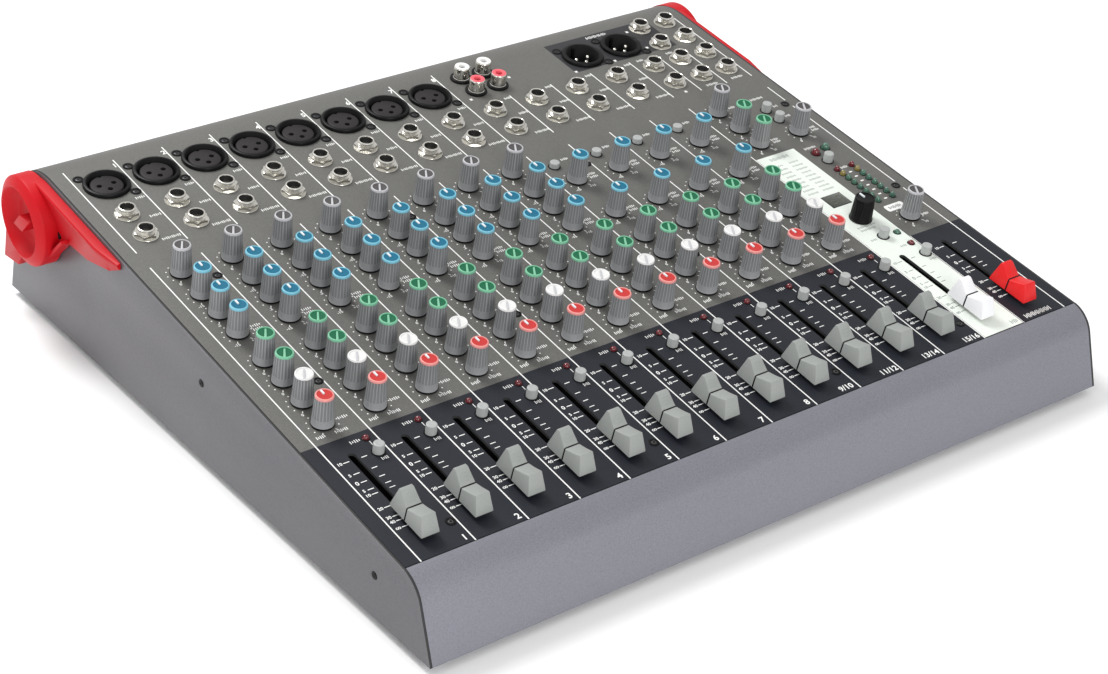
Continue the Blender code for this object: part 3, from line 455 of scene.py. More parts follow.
def boolean(mesh, tool, operation):
    """The mesh after a Boolean with a tool mesh, both in the same frame."""
    target = bpy.data.objects.new("target", mesh)
    cutter = bpy.data.objects.new("cutter", tool)
    for shape in (target, cutter):
        bpy.context.scene.collection.objects.link(shape)
    modifier = target.modifiers.new("cut", "BOOLEAN")
    modifier.operation = operation
    modifier.object = cutter
    modifier.material_mode = "INDEX"
    bpy.context.view_layer.update()
    result = bpy.data.meshes.new_from_object(target.evaluated_get(bpy.context.evaluated_depsgraph_get()))
    for shape in (target, cutter):
        bpy.data.objects.remove(shape)
    return result


def add_piece(name, mesh, placement=PANEL, *, body="case", stands_for=(), sharp=35):
    """A shown piece that rides on a body and may stand for CAD nodes; its creases over sharp degrees stay."""
    mesh.shade_smooth()
    mesh.set_sharp_from_angle(angle=math.radians(sharp))
    piece = bpy.data.objects.new(name, mesh)
    bpy.context.scene.collection.objects.link(piece)
    piece.matrix_world = placement
    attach(piece, body)
    if stands_for:
        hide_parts(*stands_for)


# Side outline of the case, as (back, up) from the floor under the panel's front edge


def fillet(corner, towards, away, radius, segments):
    """Points of an arc that rounds a corner between two directions, and so is tangent to both."""
    corner, towards, away = Vector(corner), Vector(towards).normalized(), Vector(away).normalized()
    half_angle = towards.angle(away) / 2
    centre = corner + (towards + away).normalized() * (radius / math.sin(half_angle))
    start = corner + towards * (radius / math.tan(half_angle)) - centre
    end = corner + away * (radius / math.tan(half_angle)) - centre
    turn = math.atan2(start.x * end.y - start.y * end.x, start.dot(end))
    return [centre + Matrix.Rotation(turn * step / segments, 2) @ start for step in range(segments + 1)]


def crossing(point_a, direction_a, point_b, direction_b):
    """Where two lines of the outline cross."""
    across = Vector((-direction_b.y, direction_b.x))
    along = (point_b - point_a).dot(across) / direction_a.dot(across)
    return point_a + direction_a * along


PANEL_START = Vector((0, CORNER.z - FLOOR))
PANEL_SLOPE = Vector((UP_SLOPE.y, UP_SLOPE.z))
PANEL_OUT = Vector((-PANEL_SLOPE.y, PANEL_SLOPE.x))
FRONT_FOOT = Vector((-NOSE_REACH, 0))
FRONT_UP = Vector((math.sin(FRONT_LEAN), math.cos(FRONT_LEAN)))
REAR_FOOT = Vector((REAR_REACH, 0))
REAR_UP = Vector((-math.sin(REAR_LEAN), math.cos(REAR_LEAN)))
REAR_OUT = Vector((REAR_UP.y, -REAR_UP.x))


def nose_arc():
    corner = crossing(FRONT_FOOT, FRONT_UP, PANEL_START, PANEL_SLOPE)
    return fillet(corner, -FRONT_UP, PANEL_SLOPE, NOSE_RADIUS, 20)


def fold_arc(inset=0.0):
    corner = crossing(REAR_FOOT, REAR_UP, PANEL_START, PANEL_SLOPE)
    arc = fillet(corner, -PANEL_SLOPE, -REAR_UP, FOLD_RADIUS, 32)
    centre = arc[0] - PANEL_OUT * FOLD_RADIUS
    return [centre + (point - centre) * (1 - inset / FOLD_RADIUS) for point in arc]


def rear_wall_point(height):
    return REAR_FOOT + REAR_UP * (height / REAR_UP.y)


def on_panel(row, drop=0.0):
    """The side-view point a drop below the panel's surface at a row, both in pitches."""
    return PANEL_START + PANEL_SLOPE * row * PITCH - PANEL_OUT * drop * PITCH


def folded_sheet(outer, half_width, thickness):
    """A folded sheet across the case: its outer line is anticlockwise as seen from the left."""
    inner = []
    for index, point in enumerate(outer):
        before = outer[max(index - 1, 0)]
        after = outer[min(index + 1, len(outer) - 1)]
        parts = [(b - a).normalized() for a, b in ((before, point), (point, after))
                 if (b - a).length > 1e-9]
        normals = [Vector((-part.y, part.x)) for part in parts]
        mean = (normals[0] + normals[-1]).normalized()
        inner.append(point + mean * (thickness / max(0.3, mean.dot(normals[0]))))
    loop = list(outer) + list(reversed(inner))
    bm = bmesh.new()
    left = [bm.verts.new((-half_width, y, z)) for y, z in loop]
    right = [bm.verts.new((half_width, y, z)) for y, z in loop]
    count = len(loop)
    for index in range(count):
        ahead = (index + 1) % count
        bm.faces.new((left[index], left[ahead], right[ahead], right[index]))
    for side in (left, right):
        for index in range(len(outer) - 1):
            bm.faces.new((side[index], side[index + 1], side[count - 2 - index], side[count - 1 - index]))
    bmesh.ops.recalc_face_normals(bm, faces=bm.faces)
    return bm


# Places of the repeated controls and sockets


def strip_places(strips, column, rows):
    return [(strip - 1 + column, row) for strip in strips for row in rows]


def joint_spot(node, turn=0.0):
    """The frame of a turning or pressed piece, in the panel's frame, at the surface of the panel."""
    joint = JOINTS[node]
    if "pos_m" in joint:
        place = TO_PANEL @ Vector(joint["pos_m"])
    else:
        low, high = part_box(node)
        place = TO_PANEL @ ((low + high) / 2)
    return Matrix.Translation((place.x, place.y, 0)) @ Matrix.Rotation(math.radians(turn), 4, "Z")


MICROPHONES = strip_places(MONO_STRIPS, MICROPHONE_SOCKET[0], MICROPHONE_SOCKET[1:])
JACKS = strip_places(CHANNELS, JACK_COLUMN, JACK_ROWS)
JACKS += [(column, row) for column, rows in MASTER_JACKS.items() for row in rows]
LISTEN_PLACES = strip_places(CHANNELS, LISTEN_BUTTON[0], LISTEN_BUTTON[1:])
SWITCH_PLACES = strip_places(STEREO_STRIPS, STEREO_SWITCH[0], STEREO_SWITCH[1:])
KNOB_NODES = [node for node in JOINTS if node.endswith("_knob")]
BUTTON_NODES = [node for node in JOINTS if node.endswith(("_button", "_switch"))]
FADER_NODES = [node for node in JOINTS if node.endswith("fader") or node.startswith("fader_")]


def button_spots():
    """The frames of all the buttons and switches on the panel."""
    loose = [joint_spot(node) for node in BUTTON_NODES if not node.startswith("strip_")]
    return [spot(*place) for place in LISTEN_PLACES + SWITCH_PLACES] + loose


def fader_column(node):
    low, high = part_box(node)
    return (TO_PANEL @ ((low + high) / 2)).x / PITCH


FADER_COLUMNS = sorted(fader_column(node) for node in FADER_NODES)


def fixed_dials():
    """Colour of each knob that is fitted to its board, with the frames of the knobs of that colour."""
    groups = {}
    for strips, rows in ((MONO_STRIPS[1:], MONO_ROWS), (STEREO_STRIPS[1:], STEREO_ROWS)):
        for strip in strips:
            for name, row in rows.items():
                turn = START_TURN if name in FROM_MINIMUM else 0
                groups.setdefault(DIAL_COLOURS[name], []).append(spot(strip - 1 + KNOB_COLUMN, row, turn))
    return groups


START_TURN = 150  # a knob at its minimum points this far anticlockwise from straight up the slope
FROM_MINIMUM = ("gain", "aux_1", "aux_2", "effect_send", "phones", "effect_to_aux_1", "effect_to_aux_2",
                "tape_level", "monitor_level")
DIAL_COLOURS = {"gain": "grey", "high": "blue", "mid_frequency": "blue", "mid": "blue", "low": "blue",
                "aux_1": "green", "aux_2": "green", "effect_send": "white", "pan": "red", "balance": "red",
                "phones": "grey", "effect_to_aux_1": "green", "effect_to_aux_2": "green",
                "tape_level": "grey", "monitor_level": "grey", "effect_selector": "black"}


def control_name(node):
    """strip_1_gain_knob is a gain knob, and phones_knob is a phones knob."""
    return node.removesuffix("_knob").removeprefix("strip_1_").removeprefix("strip_9_")


# Case


CUT = 4 * MM  # how far a cutting tool reaches to either side of a sheet
INLET_HEIGHT = 30 * MM  # of the inlet and the vents above the foot of the rear wall
INLET_HALF = mm(25.3, 13.3)
VENTS = [85 * MM + 12 * MM * step for step in range(6)]
VENT_HALF = mm(2.5, 12)


def build_tray():
    nose = [point for point in reversed(nose_arc()) if point.x < -2 * SHEET_GAP]
    outer = [PANEL_START - PANEL_SLOPE * SHEET_GAP] + nose
    outer += [FRONT_FOOT, REAR_FOOT, rear_wall_point(SEAM_HEIGHT - 2 * SHEET_GAP)]
    # the tray takes the lighter copy of the case paint, a painted highlight
    tray = to_mesh(folded_sheet(outer, SHEET_HALF, SHEET), "tray", ["nose"])
    cuts = bmesh.new()
    across, up = INLET_HALF
    add_block(cuts, (-across, -up, -CUT), (across, up, CUT), inlet_spot())
    for sideways in VENTS:
        add_prism(cuts, rounded_slot(*VENT_HALF), -CUT, CUT, rear_spot(sideways, INLET_HEIGHT))
    tray = boolean(tray, to_mesh(cuts, "cuts", ["nose"]), "DIFFERENCE")
    add_piece("tray_shell", tray, CASE, stands_for=["base_tray"], sharp=25)


def rounded_slot(half_width, half_length):
    """An upright slot with round ends."""
    run = half_length - half_width
    ends = [(half_width * math.cos(math.pi * step / 8), half_width * math.sin(math.pi * step / 8))
            for step in range(9)]
    return [(x, y + run) for x, y in ends] + [(-x, -y - run) for x, y in ends]


def rear_spot(sideways, up):
    """A frame on the rear wall as seen from behind, in the case's frame: Y up the wall and Z out of it."""
    place = REAR_FOOT + REAR_UP * up
    turned = Matrix(((-1, 0, 0), (0, *REAR_UP), (0, *REAR_OUT))).transposed().to_4x4()
    return Matrix.Translation((sideways, place.x, place.y)) @ turned


def inlet_spot():
    low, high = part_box("mains_inlet")
    return rear_spot((low.x + high.x) / 2, INLET_HEIGHT)


def sheet_cuts():
    """Every opening in the top panel, in the panel's frame."""
    cuts = bmesh.new()

    def hole(place, radius, sides=20):
        add_prism(cuts, circle(radius, sides), -CUT, CUT, place)

    for frames in fixed_dials().values():
        for place in frames:
            hole(place, DIAL_HOLE, 12)
    for node in KNOB_NODES:
        hole(joint_spot(node), KNOB_HOLE, 12)
    for place in button_spots():
        hole(place, BUTTON_RADIUS + 0.4 * MM)
    for column in FADER_COLUMNS:
        add_prism(cuts, rounded_slot(SLOT_WIDTH / 2, SLOT_HALF), -CUT, CUT,
                  spot(column, sum(SLOT_ROWS) / 2))
    for place in MICROPHONES + list(MAIN_OUTPUTS):
        hole(spot(*place), SOCKET_HOLE, 40)
    for place in JACKS:
        hole(spot(*place), JACK_HOLE)
    for places in PHONO_SOCKETS.values():
        for place in places:
            hole(spot(*place), PHONO_HOLE)
    middle, half_across, half_along = display_spot()
    half_across, half_along = half_across + SHEET_GAP, half_along + SHEET_GAP
    add_block(cuts, (-half_across, -half_along, -CUT), (half_across, half_along, CUT), middle)
    for column in METER_COLUMNS:
        for row in meter_rows():
            hole(spot(column, row), LAMP_HOLE, 16)
    return to_mesh(cuts, "cuts", ["panel"])


def sheet_paint(place):
    """The paint of the top panel at a place on its outer face."""
    column, row = place
    if STRIP_COLUMNS[0] < column < STRIP_COLUMNS[1] and row < STRIP_END:
        return 2
    if row < FADER_ZONE:
        return 1
    (left, front), (right, rear) = OUTPUT_ZONE
    if left < column < right and front < row < rear:
        return 3
    return 0


def build_top_sheet():
    seam = rear_wall_point(SEAM_HEIGHT)
    outer = [seam] + list(reversed(fold_arc())) + [PANEL_START + PANEL_SLOPE * SHEET_GAP]
    sheet = to_mesh(folded_sheet(outer, SHEET_HALF, SHEET), "sheet", ["panel"])
    sheet.transform(TO_PANEL @ CASE)
    sheet = boolean(sheet, sheet_cuts(), "DIFFERENCE")
    bm = bmesh.new()
    bm.from_mesh(sheet)
    (left, front), (right, rear) = OUTPUT_ZONE
    lines = [(column, 0) for column in (*STRIP_COLUMNS, left, right)]
    lines += [(row, 1) for row in (FADER_ZONE, STRIP_END, front, rear)]
    for value, axis in lines:
        point, normal = Vector((0, 0, 0)), Vector((0, 0, 0))
        point[axis], normal[axis] = value * PITCH, 1
        everything = list(bm.verts) + list(bm.edges) + list(bm.faces)
        bmesh.ops.bisect_plane(bm, geom=everything, plane_co=point, plane_no=normal, dist=1e-7)
    surface = 0.05 * MM
    # the top sheet's cut edges and underside take near-black painted shade
    for face in bm.faces:
        middle = face.calc_center_median()
        flat = face.normal.z > 0.99 and abs(middle.z) < surface
        outwards = face.normal.dot(middle - FOLD_AXIS) > 0
        curved = middle.y > FOLD_START and outwards and abs(face.normal.x) < 0.5
        if flat:
            face.material_index = sheet_paint((middle.x / PITCH, middle.y / PITCH))
        else:
            # the fader slots' walls take dark grey painted shade so the slots read black
            beside_slot = SLOT_ROWS[0] - 0.05 < middle.y / PITCH < SLOT_ROWS[1] + 0.05
            slot_wall = abs(face.normal.z) < 0.5 and beside_slot
            face.material_index = 0 if curved else (5 if slot_wall else 4)
    bm.transform((TO_PANEL @ CASE).inverted())
    sheet = to_mesh(bm, "sheet", ["panel", "navy", "white_strip", "patch", "painted_edge_shade", "slot_shade_and_screw_grey"])
    add_piece("top_sheet", sheet, CASE, stands_for=["top_panel"], sharp=25)


FOLD_START = 11.5 * PITCH
FOLD_AXIS = TO_PANEL @ (CASE @ Vector((0, *(fold_arc()[0] - PANEL_OUT * FOLD_RADIUS))))
FOLD_AXIS.x = 0


def side_spot(side, back=0.0, up=0.0, out=0.0):
    """A frame on the outside of a cheek, in the case's frame, with X to the rear, Y up and Z outwards."""
    turned = Matrix((Vector((0, 1, 0)), Vector((0, 0, 1)), Vector((side, 0, 0)))).transposed().to_4x4()
    return Matrix.Translation((side * (HALF_WIDTH + out), back, up)) @ turned


CHEEK_DROP = 0.15 * MM  # below the panel's outer face
CHEEK_EDGE = 0.4 * MM  # width of the rounding round a cheek

CHEEK_SCREWS = ((6.08, 1.59), (0.79, 0.82))  # back and up, in pitches


def build_cheeks():
    step = PANEL_START - PANEL_SLOPE * SHEET_GAP
    seam = rear_wall_point(SEAM_HEIGHT)
    outline = [FRONT_FOOT] + [point for point in nose_arc() if point.x < -2 * SHEET_GAP]
    outline += [step, step - PANEL_OUT * CHEEK_DROP] + fold_arc(CHEEK_DROP)
    outline += [seam - REAR_OUT * CHEEK_DROP, seam, REAR_FOOT]
    for name, side in (("left", -1), ("right", 1)):
        bm = bmesh.new()
        add_prism(bm, outline, -CHEEK, 0, side_spot(side), bevel=CHEEK_EDGE)
        # the cheek's top inside its rounding takes near-black painted shade for the gap under the sheet's
        # edge
        inside = HALF_WIDTH - CHEEK_EDGE - 0.01 * MM
        for face in bm.faces:
            face.material_index = 1 if abs(face.calc_center_median().x) < inside else 0
        add_piece(f"{name}_cheek", to_mesh(bm, name, ["case", "painted_edge_shade"]), CASE,
                  stands_for=[f"{name}_side_panel"], sharp=25)
        heads = bmesh.new()
        for back, up in CHEEK_SCREWS:
            add_screw(heads, side_spot(side, back * PITCH, up * PITCH), 2.0 * MM, 0.5 * MM)
        add_piece(f"{name}_cheek_screws", to_mesh(heads, name, ["black", "bore"]), CASE)


def add_screw(bm, place, radius, rise, paint=0, dark=1):
    """A round screw head with a cross in it; the dished middle and the cross take the dark paint, painted
    shade for the cross's recess.
    """
    add_lathe(bm, [(0, -1 * MM, paint), (radius * 0.5, -1 * MM, paint), (radius * 0.5, 0, paint),
                   (radius, 0.02 * MM, paint),
                   (radius * 0.92, rise * 0.7, paint), (radius * 0.6, rise, paint),
                   (radius * 0.45, rise, dark),
                   (radius * 0.35, rise * 0.3, dark), (0, rise * 0.2, dark)], 24, place)
    for turn in (0, 90):
        blade = place @ Matrix.Rotation(math.radians(turn + 20), 4, "Z")
        add_block(bm, (-radius * 0.52, -radius * 0.11, rise * 0.5),
                  (radius * 0.52, radius * 0.11, rise * 1.02), blade, dark)


def build_feet():
    for node in ("foot_front_left", "foot_front_right", "foot_rear_left", "foot_rear_right"):
        low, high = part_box(node)
        radius, height = (high.x - low.x) / 2, high.z - low.z
        bm = bmesh.new()
        add_lathe(bm, [(0, 0.8 * MM, 0), (radius * 0.45, 0.8 * MM, 0), (radius * 0.5, 0, 0),
                       (radius * 0.82, 0, 0),
                       (radius * 0.88, 0.3 * MM, 0), (radius, height - 0.4 * MM, 0),
                       (radius * 0.98, height, 0), (0, height, 0)], 48)
        place = Matrix.Translation(((low.x + high.x) / 2, (low.y + high.y) / 2, low.z))
        add_piece(node.replace("foot", "rubber_foot"), to_mesh(bm, node, ["rubber"]), place,
                  stands_for=[node])


# Corner guards, drawn for the right-hand side and mirrored for the left


GUARD_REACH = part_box("right_corner_guard")[1].x - HALF_WIDTH
DRUM_RADIUS = 0.865 * PITCH
DRUM_CENTRE = Vector((11.93, 2.21)) * PITCH
DRUM_CHAMFER = 0.106 * PITCH
DISH_RADIUS = 0.69 * PITCH
DISH_DEPTH = 7 * MM
PEG = ((0.31, -0.15), (-0.05, -0.18), (-0.41, 0.16), (0.0, 0.14))  # back and up from the centre, in pitches
PEG_DROP = 1 * MM
DISH_FLOOR = 0.39 * PITCH
BLADE = ((8.87, 0.20), (9.15, 0.39), (9.97, 0.68), (10.80, 0.80))  # lower edge: row and drop
BLADE_TOP = 0.07  # drop of its flat top, in pitches
BLADE_REACH = 0.19 * PITCH
HEEL = ((12.30, 1.42), (12.75, 0.92))  # back and up, in pitches
HEEL_BLOCK = ((12.45, 2.1), (12.32, 1.40), (12.72, 0.906), (13.33, 0.846), (13.14, 1.50), (12.80, 1.95))
RIB = ((10.66, 0.70), (11.30, 1.44))  # row and drop of its ends
PLATE = 0.07 * PITCH
GUARD_SCREW = (11.06, 0.82)  # row and drop


def guard_plate(bm):
    """The thin plate that carries the whole guard against the cheek."""
    outline = [on_panel(row, drop) for row, drop in BLADE[1:]]
    outline += [on_panel(*RIB[1])] + [Vector(point) * PITCH for point in HEEL]
    outline += [rear_wall_point(0.82 * PITCH)]
    outline += list(reversed(fold_arc(inset=0.09 * PITCH))) + [on_panel(9.3, 0.1)]
    add_prism(bm, outline, 0, PLATE, bevel=0.5 * MM)


def guard_heel(bm):
    """The thicker foot behind the drum, along the rear wall."""
    add_prism(bm, [Vector(point) * PITCH for point in HEEL_BLOCK], 0, 0.2 * PITCH, bevel=0.7 * MM)


def blade_ring(bm, top, inward, depth, swell):
    """One section of the blade: flat top, rounded ridge and a face that falls back to the lower edge."""
    reach, foot, lip = BLADE_REACH * swell, PLATE * min(1.0, swell), min(1.0, depth / 0.4)
    profile = [(0, 0), (0, 0.5 * reach), (0.012, 0.9 * reach), (0.035, reach), (0.035 + 0.045 * lip, reach),
               (0.035 + 0.075 * lip, 0.94 * reach), (depth * 0.97, foot * 1.1), (depth, foot * 0.6),
               (depth, 0)]
    ring = []
    for drop, out in profile:
        place = top + inward * drop * PITCH
        ring.append(bm.verts.new((place.x, place.y, out)))
    return ring


def guard_blade(bm):
    """The blade along the panel's edge and round the fold."""
    inset = BLADE_TOP * PITCH
    fold = fold_arc(inset)
    rows = [8.87, 8.95, 9.15, 9.5, 9.97, 10.4, 10.80, 11.2, 11.5]
    rings = []
    for row in rows:
        swell = min(1.0, 0.35 + (row - rows[0]) / 0.9)
        depth = edge_drop(row) - BLADE_TOP
        rings.append(blade_ring(bm, on_panel(row, BLADE_TOP), -PANEL_OUT, depth, swell))
    centre = fold[0] - PANEL_OUT * (FOLD_RADIUS - inset)
    for point in fold[1::3]:
        rings.append(blade_ring(bm, point, (centre - point).normalized(), 0.62, 1.0))
    faces = [bm.faces.new(list(reversed(rings[0]))), bm.faces.new(rings[-1])]
    count = len(rings[0])
    for first, second in zip(rings, rings[1:]):
        for index in range(count):
            ahead = (index + 1) % count
            faces.append(bm.faces.new((first[index], first[ahead], second[ahead], second[index])))
    settle(bm, faces, [], None, 0)


def edge_drop(row):
    """Drop of the blade's lower edge at a row, in pitches."""
    for (row_a, drop_a), (row_b, drop_b) in zip(BLADE, BLADE[1:]):
        if row <= row_b:
            return drop_a + (drop_b - drop_a) * (row - row_a) / (row_b - row_a)
    return BLADE[-1][1]


def guard_rib(bm):
    """The rib that closes the pocket below the screw."""
    start, end = (on_panel(*place) for place in RIB)
    run = end - start
    place = Matrix.Translation((*start, 0)) @ Matrix.Rotation(math.atan2(run.y, run.x), 4, "Z")
    half = 0.035 * PITCH
    add_block(bm, (-0.02 * PITCH, -half, 0), (run.length, half, 0.24 * PITCH), place, bevel=0.35 * MM)


def guard_drum(bm):
    """The round pillar with its sloping rim and its concave dish."""
    rim, soft = GUARD_REACH, 0.45 * MM
    slope = Vector((DISH_RADIUS - DRUM_RADIUS, DRUM_CHAMFER)).normalized()
    shoulder, lip = Vector((DRUM_RADIUS, rim - DRUM_CHAMFER)), Vector((DISH_RADIUS, rim))
    profile = [(0, 0.4 * MM, 0), (DRUM_RADIUS, 0.4 * MM, 0), (DRUM_RADIUS, shoulder.y - 2 * soft, 0)]
    for share in (0.25, 0.5, 0.75):
        start, end = shoulder - Vector((0, 2 * soft)), shoulder + slope * 2 * soft
        place = start * (1 - share) ** 2 + shoulder * 2 * share * (1 - share) + end * share ** 2
        profile.append((*place, 0))
    profile += [(*(shoulder + slope * 2 * soft), 0), (*(lip - slope * soft), 0),
                (*(lip - slope * soft * 0.3 - Vector((soft * 0.3, soft * 0.1))), 0),
                (DISH_RADIUS - soft * 1.4, rim - soft, 0)]
    bowl = 12
    for step in range(1, bowl + 1):
        share = step / bowl
        radius = DISH_FLOOR + (DISH_RADIUS - soft * 1.4 - DISH_FLOOR) * (1 - share) ** 0.75
        profile.append((radius, rim - soft - (DISH_DEPTH - soft) * math.sin(share * math.pi / 2), 0))
    profile.append((0, rim - DISH_DEPTH, 0))
    add_lathe(bm, profile, 96, Matrix.Translation((*DRUM_CENTRE, 0)))


def guard_peg(bm):
    """The four-sided peg in the dish."""
    outline = [Vector(point) * PITCH for point in PEG]
    middle = Matrix.Translation((*DRUM_CENTRE, 0))
    add_prism(bm, outline, GUARD_REACH - DISH_DEPTH - 1 * MM, GUARD_REACH - PEG_DROP, middle,
              bevel=0.4 * MM)


def build_guards():
    shapes = []
    for make in (guard_plate, guard_heel, guard_blade, guard_rib, guard_drum, guard_peg):
        bm = bmesh.new()
        make(bm)
        shapes.append(to_mesh(bm, make.__name__, ["red_plastic"]))
    guard = shapes[0]
    for shape in shapes[1:]:
        guard = boolean(guard, shape, "UNION")
    for name, side in (("left", -1), ("right", 1)):
        outside = side_spot(side, out=0.3 * MM)
        copy = guard.copy()
        copy.transform(outside)
        if side < 0:
            copy.flip_normals()
        add_piece(f"{name}_guard", copy, CASE, stands_for=[f"{name}_corner_guard"],
                  sharp=32)
        screw = bmesh.new()
        middle = on_panel(*GUARD_SCREW)
        add_screw(screw, side_spot(side, middle.x, middle.y, PLATE + 0.3 * MM), 2.1 * MM, 0.6 * MM)
        add_piece(f"{name}_guard_screw", to_mesh(screw, name, ["black", "bore"]), CASE)


# Knobs, buttons and faders


DIAL_PAINTS = {  # ring, insert and pointer
    "grey": ("knob_top_grey", "insert_grey", "knob_top_grey"),
    "blue": ("knob_top_blue", "insert_blue", "pointer"),
    "green": ("knob_top_green", "insert_green", "knob_top_green"),
    "white": ("knob_top_white", "insert_white", "knob_top_grey"),
    "red": ("knob_top_red", "insert_red", "pointer"),
    "black": ("black", "black", "pointer"),
}
FLUTE = 0.38 * MM  # depth of the grooves down a knob's side
DIAL_SIDES = 60  # three to a groove


def dial_paints(colour):
    # the flutes' walls take a darker copy of the body paint, painted shade
    body, groove = ("black", "black") if colour == "black" else ("knob_body", "knob_groove_shade")
    return [body, "black", *DIAL_PAINTS[colour], groove]


def dial_mesh(colour):
    """A fluted knob on its shaft: body, skirt, ring, sunk insert and a pointer that runs down the side."""
    base, top, height = SELECTOR_SIZE if colour == "black" else (KNOB_RADIUS, KNOB_TOP_RADIUS, KNOB_TOP)
    body, skirt, ring, insert, bar, groove = range(6)

    def radius_at(level):
        return base + (top - base) * (level - 1 * MM) / (height - 1 * MM)

    flute_end = height - 1.5 * MM
    profile = [
        (0, -8.7 * MM, skirt), (3 * MM, -8.7 * MM, skirt), (3 * MM, 0.25 * MM, skirt),
        (base + 0.35 * MM, 0.25 * MM, skirt), (base + 0.35 * MM, 0.8 * MM, skirt),
        (base + 0.1 * MM, 0.95 * MM, body), (base, 1.2 * MM, body),
        (radius_at(2.4 * MM), 2.4 * MM, body, 0), (radius_at(4.6 * MM), 4.6 * MM, body, FLUTE),
        (radius_at(flute_end), flute_end, body, FLUTE),
        (radius_at(flute_end + 0.3 * MM), flute_end + 0.3 * MM, ring),
    ]
    # millimetres inwards and down from the top's edge, round the ring's rim to the sunk insert
    rim = ((-0.06, 0.7), (0.05, 0.35), (0.2, 0.1), (0.4, 0), (0.6, 0), (0.7, 0.1))
    profile += [(top - inwards * MM, height - down * MM, ring) for inwards, down in rim]
    profile += [(top - 0.75 * MM, height - 0.4 * MM, insert), (top * 0.4, height - 0.5 * MM, insert),
                (0, height - 0.52 * MM, insert)]
    bm = bmesh.new()
    add_lathe(bm, profile, DIAL_SIDES, groove=groove)
    short = colour in ("blue", "red", "black")  # its mark runs from the middle only
    half, length = 0.42 * MM, top - (0.9 if short else 0.15) * MM
    foot = top * (0.1 if short else -0.55)
    outline = [(-half, foot), (half, foot), (half * 1.3, length), (-half * 1.3, length)]
    add_prism(bm, outline, height - 0.9 * MM, height + 0.12 * MM, paint=bar, bevel=0.12 * MM)
    ridge(bm, [(radius_at(1.4 * MM), 1.4 * MM), (radius_at(height - 1 * MM), height - 1 * MM)], body)
    return to_mesh(bm, f"{colour}_dial", dial_paints(colour))


def ridge(bm, line, paint):
    """The pointer's ridge down the side of a knob, along a line of (radius, height) points."""
    half, proud, root = 0.42 * MM, 0.22 * MM, 0.8 * MM
    rings = []
    for radius, height in line:
        section = [(-half, radius - root), (half, radius - root), (half * 0.7, radius + proud),
                   (-half * 0.7, radius + proud)]
        rings.append([bm.verts.new((x, y, height)) for x, y in section])
    faces = [bm.faces.new(list(reversed(rings[0]))), bm.faces.new(rings[-1])]
    for index in range(4):
        ahead = (index + 1) % 4
        faces.append(bm.faces.new((rings[0][index], rings[0][ahead], rings[1][ahead], rings[1][index])))
    settle(bm, faces, [], None, paint)


def build_dials():
    meshes = {colour: dial_mesh(colour) for colour in DIAL_PAINTS}
    boards = {"red": ["mono_control_board", "stereo_control_board"]}
    for colour, frames in fixed_dials().items():
        mesh = stamp(f"{colour}_dials", meshes[colour], frames, dial_paints(colour))
        add_piece(f"{colour}_dials", mesh, PANEL, stands_for=boards.get(colour, ()),
                  sharp=35)
    for node in KNOB_NODES:
        control = control_name(node)
        colour = DIAL_COLOURS[control]
        turn = START_TURN if control in FROM_MINIMUM else 0
        add_piece(node.replace("_knob", "_dial"), meshes[colour].copy(), PANEL @ joint_spot(node, turn),
                  body=node,
                  stands_for=[node], sharp=35)


def button_mesh(top=BUTTON_TOP):
    radius = BUTTON_RADIUS
    bm = bmesh.new()
    add_lathe(bm, [(0, -7.6 * MM, 0), (radius * 0.8, -7.6 * MM, 0), (radius, -7.3 * MM, 0),
                   (radius, top - 0.5 * MM, 0),
                   (radius - 0.15 * MM, top - 0.15 * MM, 0), (radius - 0.5 * MM, top, 0),
                   (radius * 0.6, top, 0),
                   (radius * 0.3, top - 0.15 * MM, 0), (0, top - 0.2 * MM, 0)], 32)
    return to_mesh(bm, "button", ["button"])


def bezel_mesh():
    """The black ring on the panel round a button, over the gap in its hole: painted shade for that gap."""
    inner, outer = BUTTON_RADIUS + 0.2 * MM, BUTTON_RADIUS + 0.7 * MM
    bm = bmesh.new()
    loop = [(inner, -1 * MM, 0), (inner, 0.35 * MM, 0), (outer - 0.2 * MM, 0.4 * MM, 0),
            (outer, 0.2 * MM, 0),
            (outer, -0.05 * MM, 0), (inner + 0.1 * MM, -1 * MM, 0)]
    add_ring(bm, loop, 32)
    return to_mesh(bm, "shade_ring", ["black"])


def add_ring(bm, loop, sides, placement=None):
    """A hollow turned ring from a closed loop of (radius, height, paint) points."""
    rings = []
    for radius, height, _ in loop:
        angles = [2 * math.pi * side / sides for side in range(sides)]
        rings.append([bm.verts.new((radius * math.cos(angle), radius * math.sin(angle), height))
                      for angle in angles])
    faces = []
    for index, (_, _, paint) in enumerate(loop):
        lower, upper = rings[index], rings[(index + 1) % len(rings)]
        for side in range(sides):
            ahead = (side + 1) % sides
            face = bm.faces.new((lower[side], lower[ahead], upper[ahead], upper[side]))
            face.material_index = paint
            faces.append(face)
    settle(bm, faces, [vert for ring in rings for vert in ring], placement, None)


